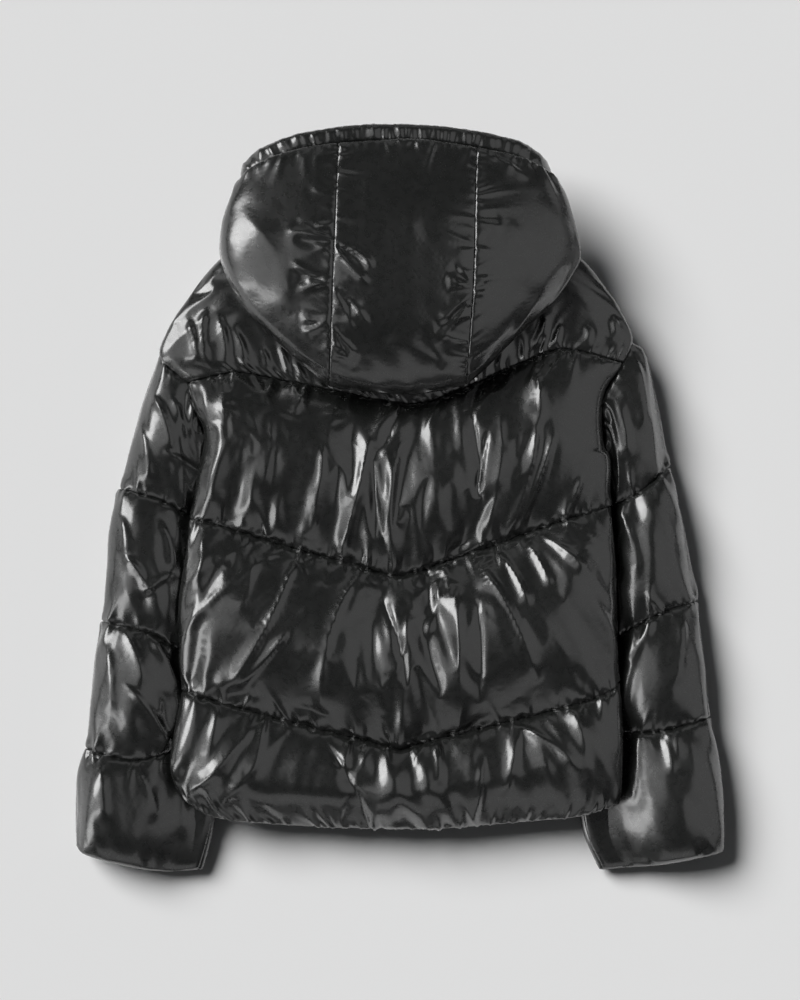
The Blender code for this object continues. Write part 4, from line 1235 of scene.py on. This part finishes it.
class JACKET_OT_casing(bpy.types.Operator):
    """Make the gathered elastic casing along the hood's opening"""

    bl_idname = "jacket.casing"
    bl_label = "Hood Casing"

    def execute(self, context):
        stations, sides = 620, 28
        seam = along(CASING_SEAM, np.linspace(0.0, 1.0, stations), 3)
        run = np.gradient(seam[:, :3], axis=0)
        run /= np.linalg.norm(run, axis=1)[:, None]
        side = np.stack([run[:, 1], -run[:, 0], np.zeros(stations)], axis=1)
        side /= np.linalg.norm(side, axis=1)[:, None]
        turn = np.radians(seam[:, 3])[:, None]
        width = side * np.cos(turn) + np.array([[0.0, 0.0, -1.0]]) * np.sin(turn)
        thick = np.cross(run, width)
        thick /= np.linalg.norm(thick, axis=1)[:, None]
        middle = seam[:, :3] + width * (0.5 * CASING_WIDTH - CASING_OVERLAP)
        angle = np.linspace(0.0, 2 * math.pi, sides, endpoint=False)[:, None, None]
        gathers = (0.45 * smooth_noise((sides, stations), 1.5, 7.0, 11.0, 5)
                   + 0.5 * smooth_noise((sides, stations), 1.5, 16.0, 20.0, 6))[:, :, None]
        flat = np.sign(np.cos(angle)) * np.abs(np.cos(angle)) ** 0.8
        ring = (middle[None] + width[None] * (0.5 * CASING_WIDTH + 0.3 * gathers) * flat
                + thick[None] * (0.5 * CASING_THICK + 0.9 * gathers) * np.sin(angle))
        closed = np.vstack([ring, ring[:1]])
        index = np.arange(sides * stations).reshape(sides, stations)
        index = np.vstack([index, index[:1]])
        faces = grid_faces(index) + [index[:-1, 0].tolist(), index[:-1, -1].tolist()]
        padded_piece("hood_casing", closed[:-1].reshape(-1, 3), faces, ["hood_edge"])
        keep_line(ring[sides * 7 // 12])
        return {"FINISHED"}


# ---- what repeats, by Geometry Nodes -------------------------------------------------------------

def new_tree(name, inputs):
    """A geometry tree with named inputs, each a (name, socket type, default)."""
    tree = bpy.data.node_groups.new(name, "GeometryNodeTree")
    tree.is_modifier = True
    tree.interface.new_socket("Geometry", in_out="INPUT", socket_type="NodeSocketGeometry")
    for label, kind, default in inputs:
        socket = tree.interface.new_socket(label, in_out="INPUT", socket_type=kind)
        if default is not None:
            socket.default_value = default
    tree.interface.new_socket("Geometry", in_out="OUTPUT", socket_type="NodeSocketGeometry")
    return tree, tree.nodes.new("NodeGroupInput")


def run_tree(piece, tree, values):
    """The piece's own mesh, made anew by a geometry tree whose named inputs are set."""
    modifier = piece.modifiers.new(tree.name, "NODES")
    modifier.node_group = tree
    sockets = {item.name: item.identifier for item in tree.interface.items_tree if item.in_out == "INPUT"}
    for label, value in values.items():
        modifier[sockets[label]] = value
    evaluated = piece.evaluated_get(bpy.context.evaluated_depsgraph_get())
    mesh = bpy.data.meshes.new_from_object(evaluated)
    piece.modifiers.remove(modifier)
    return mesh


def lone_mesh(name, build):
    """An object that is only an instance's source, made by a bmesh function."""
    mesh = bpy.data.meshes.new(name)
    shape = bmesh.new()
    build(shape)
    shape.to_mesh(mesh)
    shape.free()
    mesh.shade_smooth()
    return bpy.data.objects.new(name, mesh)


def build_stitch(shape):
    """One stitch along X, one unit long: a short thread that dips into the cloth at both ends."""
    bmesh.ops.create_uvsphere(shape, u_segments=5, v_segments=4, radius=0.5)
    for vertex in shape.verts:
        x, y, z = vertex.co
        vertex.co = (z, y, x - 0.35 * z * z)


def build_tooth(shape):
    """One moulded tooth, one unit wide along X: a block on the tape with a rounded, waisted head."""
    bmesh.ops.create_cube(shape, size=1.0)
    bmesh.ops.scale(shape, verts=shape.verts, vec=(1.0, 0.5, 0.55))
    edges = [edge for edge in shape.edges if abs(edge.verts[0].co.x - edge.verts[1].co.x) > 0.5]
    bmesh.ops.subdivide_edges(shape, edges=edges, cuts=2)
    for vertex in shape.verts:
        x = vertex.co.x + 0.5
        vertex.co.y *= 1.0 - 0.42 * math.exp(-((x - 0.62) / 0.16) ** 2) + 0.15 * (x > 0.9)
        vertex.co.z *= 1.0 - 0.25 * max(0.0, x - 0.7)
    bmesh.ops.bevel(shape, geom=list(shape.edges), offset=0.05, segments=1, affect="EDGES")


def stitch_tree():
    tree, group = new_tree("stitches", [
        ("Stitch", "NodeSocketObject", None), ("Length", "NodeSocketFloat", 0.0033),
        ("Thickness", "NodeSocketFloat", 0.0005), ("Seed", "NodeSocketInt", 4),
        ("Material", "NodeSocketMaterial", None)])
    curve = add_node(tree, "GeometryNodeMeshToCurve", (0, 0), [("Mesh", group.outputs["Geometry"])])
    even = add_node(tree, "GeometryNodeResampleCurve", (200, 0),
                    [("Curve", curve.outputs["Curve"]), ("Length", group.outputs["Length"])], mode="LENGTH")
    tangent = add_node(tree, "GeometryNodeInputTangent", (200, -200))
    aim = add_node(tree, "FunctionNodeAlignRotationToVector", (400, -200),
                   [("Vector", tangent.outputs["Tangent"])], axis="X")
    uneven = add_node(tree, "FunctionNodeRandomValue", (400, -400),
                      [("Min", (-0.12, -0.12, -0.2)), ("Max", (0.12, 0.12, 0.2)),
                       ("Seed", group.outputs["Seed"])], data_type="FLOAT_VECTOR")
    turn = add_node(tree, "FunctionNodeEulerToRotation", (600, -400), [(0, uneven.outputs["Value"])])
    both = add_node(tree, "FunctionNodeRotateRotation", (800, -200),
                    [("Rotation", aim.outputs["Rotation"]), ("Rotate By", turn.outputs["Rotation"])])
    source = add_node(tree, "GeometryNodeObjectInfo", (400, 200), [("Object", group.outputs["Stitch"])])
    long = add_node(tree, "ShaderNodeMath", (400, 400), [(0, group.outputs["Length"]), (1, 0.74)],
                    operation="MULTIPLY")
    size = add_node(tree, "ShaderNodeCombineXYZ", (600, 400),
                    [("X", long.outputs["Value"]), ("Y", group.outputs["Thickness"]),
                     ("Z", group.outputs["Thickness"])])
    placed = add_node(tree, "GeometryNodeInstanceOnPoints", (1000, 0),
                      [("Points", even.outputs["Curve"]), ("Instance", source.outputs["Geometry"]),
                       ("Rotation", both.outputs["Rotation"]), ("Scale", size.outputs["Vector"])])
    real = add_node(tree, "GeometryNodeRealizeInstances", (1200, 0), [(0, placed.outputs["Instances"])])
    finished = add_node(tree, "GeometryNodeSetMaterial", (1400, 0),
                        [("Geometry", real.outputs["Geometry"]), ("Material", group.outputs["Material"])])
    add_node(tree, "NodeGroupOutput", (1600, 0), [("Geometry", finished.outputs["Geometry"])])
    return tree


def tooth_tree():
    tree, group = new_tree("zip_teeth", [
        ("Tooth", "NodeSocketObject", None), ("Start", "NodeSocketVector", (0.0, 0.0, 0.0)),
        ("Pitch", "NodeSocketFloat", 0.0024), ("Count", "NodeSocketInt", 10),
        ("Width", "NodeSocketFloat", 0.0032), ("Material", "NodeSocketMaterial", None)])
    pitch = add_node(tree, "ShaderNodeCombineXYZ", (0, -200), [("Y", group.outputs["Pitch"])])
    line = add_node(tree, "GeometryNodeMeshLine", (200, 0),
                    [("Count", group.outputs["Count"]), ("Start Location", group.outputs["Start"]),
                     ("Offset", pitch.outputs["Vector"])])
    index = add_node(tree, "GeometryNodeInputIndex", (200, -400))
    half = add_node(tree, "ShaderNodeMath", (400, -400), [(0, index.outputs["Index"]), (1, 2.0)],
                    operation="MODULO")
    angle = add_node(tree, "ShaderNodeMath", (600, -400), [(0, half.outputs["Value"]), (1, math.pi)],
                     operation="MULTIPLY")
    euler = add_node(tree, "ShaderNodeCombineXYZ", (800, -400), [("Z", angle.outputs["Value"])])
    turn = add_node(tree, "FunctionNodeEulerToRotation", (1000, -400), [(0, euler.outputs["Vector"])])
    source = add_node(tree, "GeometryNodeObjectInfo", (400, 200), [("Object", group.outputs["Tooth"])])
    size = add_node(tree, "ShaderNodeCombineXYZ", (600, 400),
                    [("X", group.outputs["Width"]), ("Y", group.outputs["Width"]),
                     ("Z", group.outputs["Width"])])
    placed = add_node(tree, "GeometryNodeInstanceOnPoints", (1200, 0),
                      [("Points", line.outputs["Mesh"]), ("Instance", source.outputs["Geometry"]),
                       ("Rotation", turn.outputs["Rotation"]), ("Scale", size.outputs["Vector"])])
    real = add_node(tree, "GeometryNodeRealizeInstances", (1400, 0), [(0, placed.outputs["Instances"])])
    finished = add_node(tree, "GeometryNodeSetMaterial", (1600, 0),
                        [("Geometry", real.outputs["Geometry"]), ("Material", group.outputs["Material"])])
    add_node(tree, "NodeGroupOutput", (1800, 0), [("Geometry", finished.outputs["Geometry"])])
    return tree


def finish_made(name, mesh):
    """Link a mesh made by a geometry tree, with the tree's material as its only one."""
    material = next(kept for kept in mesh.materials if kept)
    mesh.materials.clear()
    mesh.materials.append(material)
    mesh.polygons.foreach_set("material_index", np.zeros(len(mesh.polygons), dtype=np.int32))
    piece = bpy.data.objects.new(name, mesh)
    mesh.name = name
    bpy.context.scene.collection.objects.link(piece)
    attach(piece, "jacket")
    return piece


class JACKET_OT_stitches(bpy.types.Operator):
    """Make the lockstitches along every quilting seam"""

    bl_idname = "jacket.stitches"
    bl_label = "Stitching"

    def execute(self, context):
        cloth = context.scene.jacket_cloth
        lines = bpy.data.objects["seam_lines"]
        context.scene.collection.objects.link(lines)
        stitch = lone_mesh("stitch_source", build_stitch)
        mesh = run_tree(lines, stitch_tree(), {
            "Stitch": stitch, "Length": cloth.stitch, "Thickness": THREAD * MM, "Seed": 4,
            "Material": material_named("polyester_thread", twisted_thread)})
        bpy.data.objects.remove(lines, do_unlink=True)
        bpy.data.objects.remove(stitch, do_unlink=True)
        finish_made("seam_stitching", mesh)
        return {"FINISHED"}


class JACKET_OT_zip(bpy.types.Operator):
    """Make the zip's teeth, and finish its tapes, slider and pull"""

    bl_idname = "jacket.zip"
    bl_label = "Front Zip"

    def execute(self, context):
        low, high = (Vector(corner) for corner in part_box("zip_teeth"))
        tooth = lone_mesh("tooth_source", build_tooth)
        holder = bpy.data.objects.new("teeth", bpy.data.meshes.new("teeth"))
        context.scene.collection.objects.link(holder)
        pitch = TOOTH_PITCH * MM
        mesh = run_tree(holder, tooth_tree(), {
            "Tooth": tooth, "Start": (0.0, low.y + pitch, 0.5 * (low.z + high.z)), "Pitch": pitch,
            "Count": int((high.y - low.y) / pitch) - 1, "Width": 0.9 * (high.x - low.x),
            "Material": material_named("moulded_acetal", moulded_acetal)})
        bpy.data.objects.remove(holder, do_unlink=True)
        bpy.data.objects.remove(tooth, do_unlink=True)
        teeth = finish_made("zip_chain", mesh)
        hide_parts("zip_teeth")
        for node, name, make in (("zip_tape_left", "woven_polyester_tape", woven_tape),
                                 ("zip_tape_right", "woven_polyester_tape", woven_tape),
                                 ("zip_slider", "black_nickel_zinc", plated_zinc),
                                 ("zip_pull", "black_nickel_zinc", plated_zinc)):
            for material_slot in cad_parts[node].material_slots:
                material_slot.material = material_named(name, make)
        return {"FINISHED"}


class JACKET_OT_stage(bpy.types.Operator):
    """Make the floor, the lights and the camera"""

    bl_idname = "jacket.stage"
    bl_label = "Studio"

    def execute(self, context):
        scene = context.scene
        studio = scene.jacket_studio
        bpy.ops.mesh.primitive_plane_add(size=14.0, location=(0.0, 0.0, -0.0006))
        floor = context.active_object
        floor.name = "paper_floor"
        floor.data.materials.append(paper_floor())
        for name, towards, width, strength, in_gloss in SUNS:
            data = bpy.data.lights.new(name, "SUN")
            data.angle = math.radians(width)
            data.energy = strength
            lamp = bpy.data.objects.new(name, data)
            lamp.rotation_euler = Vector(towards).to_track_quat("Z", "Y").to_euler()
            lamp.visible_glossy = in_gloss
            lamp.visible_diffuse = not in_gloss
            scene.collection.objects.link(lamp)
        for name, place, size, radiance in PANELS:
            data = bpy.data.lights.new(name, "AREA")
            data.shape = "RECTANGLE"
            data.size, data.size_y = size
            data.energy = radiance * math.pi * size[0] * size[1]
            lamp = bpy.data.objects.new(name, data)
            lamp.location = place
            lamp.rotation_euler = Vector(place).to_track_quat("Z", "Y").to_euler()
            lamp.visible_diffuse = False
            scene.collection.objects.link(lamp)
        world = bpy.data.worlds.new("studio")
        world.use_nodes = True
        background = world.node_tree.nodes["Background"]
        background.inputs["Color"].default_value = (*linear(0xD8DADC), 1.0)
        background.inputs["Strength"].default_value = WORLD_LEVEL
        scene.world = world
        data = bpy.data.cameras.new("camera")
        data.sensor_width = 36.0
        data.lens = data.sensor_width * (studio.camera_height - 0.05) / studio.view_height
        data.clip_end = 50.0
        camera = bpy.data.objects.new("camera", data)
        camera.location = (0.0, 0.0, studio.camera_height)
        scene.collection.objects.link(camera)
        scene.camera = camera
        scene.view_settings.view_transform = "Standard"
        return {"FINISHED"}


class JACKET_PT_sidebar(bpy.types.Panel):
    """The jacket's settings, and a button for each of its pieces"""

    bl_idname = "JACKET_PT_sidebar"
    bl_label = "Puffer Jacket"
    bl_space_type = "VIEW_3D"
    bl_region_type = "UI"
    bl_category = "Puffer Jacket"

    def draw(self, context):
        for settings in (context.scene.jacket_cloth, context.scene.jacket_studio):
            column = self.layout.column()
            for name in type(settings).__annotations__:
                column.prop(settings, name)
        column = self.layout.column()
        for name in ("stage", "back", "sleeves", "fronts", "hood", "casing", "stitches", "zip"):
            column.operator(f"jacket.{name}")


CLASSES = (JACKET_PG_cloth, JACKET_PG_studio, JACKET_OT_back, JACKET_OT_sleeves, JACKET_OT_fronts,
           JACKET_OT_hood, JACKET_OT_casing, JACKET_OT_stitches, JACKET_OT_zip, JACKET_OT_stage,
           JACKET_PT_sidebar)


def register():
    for item in CLASSES:
        bpy.utils.register_class(item)
    bpy.types.Scene.jacket_cloth = bpy.props.PointerProperty(type=JACKET_PG_cloth)
    bpy.types.Scene.jacket_studio = bpy.props.PointerProperty(type=JACKET_PG_studio)


def unregister():
    del bpy.types.Scene.jacket_studio
    del bpy.types.Scene.jacket_cloth
    for item in reversed(CLASSES):
        bpy.utils.unregister_class(item)


def main():
    register()
    bpy.ops.jacket.stage()
    bpy.ops.jacket.back()
    bpy.ops.jacket.sleeves()
    bpy.ops.jacket.fronts()
    bpy.ops.jacket.hood()
    bpy.ops.jacket.casing()
    bpy.ops.jacket.stitches()
    bpy.ops.jacket.zip()


if __name__ == "__main__":
    main()
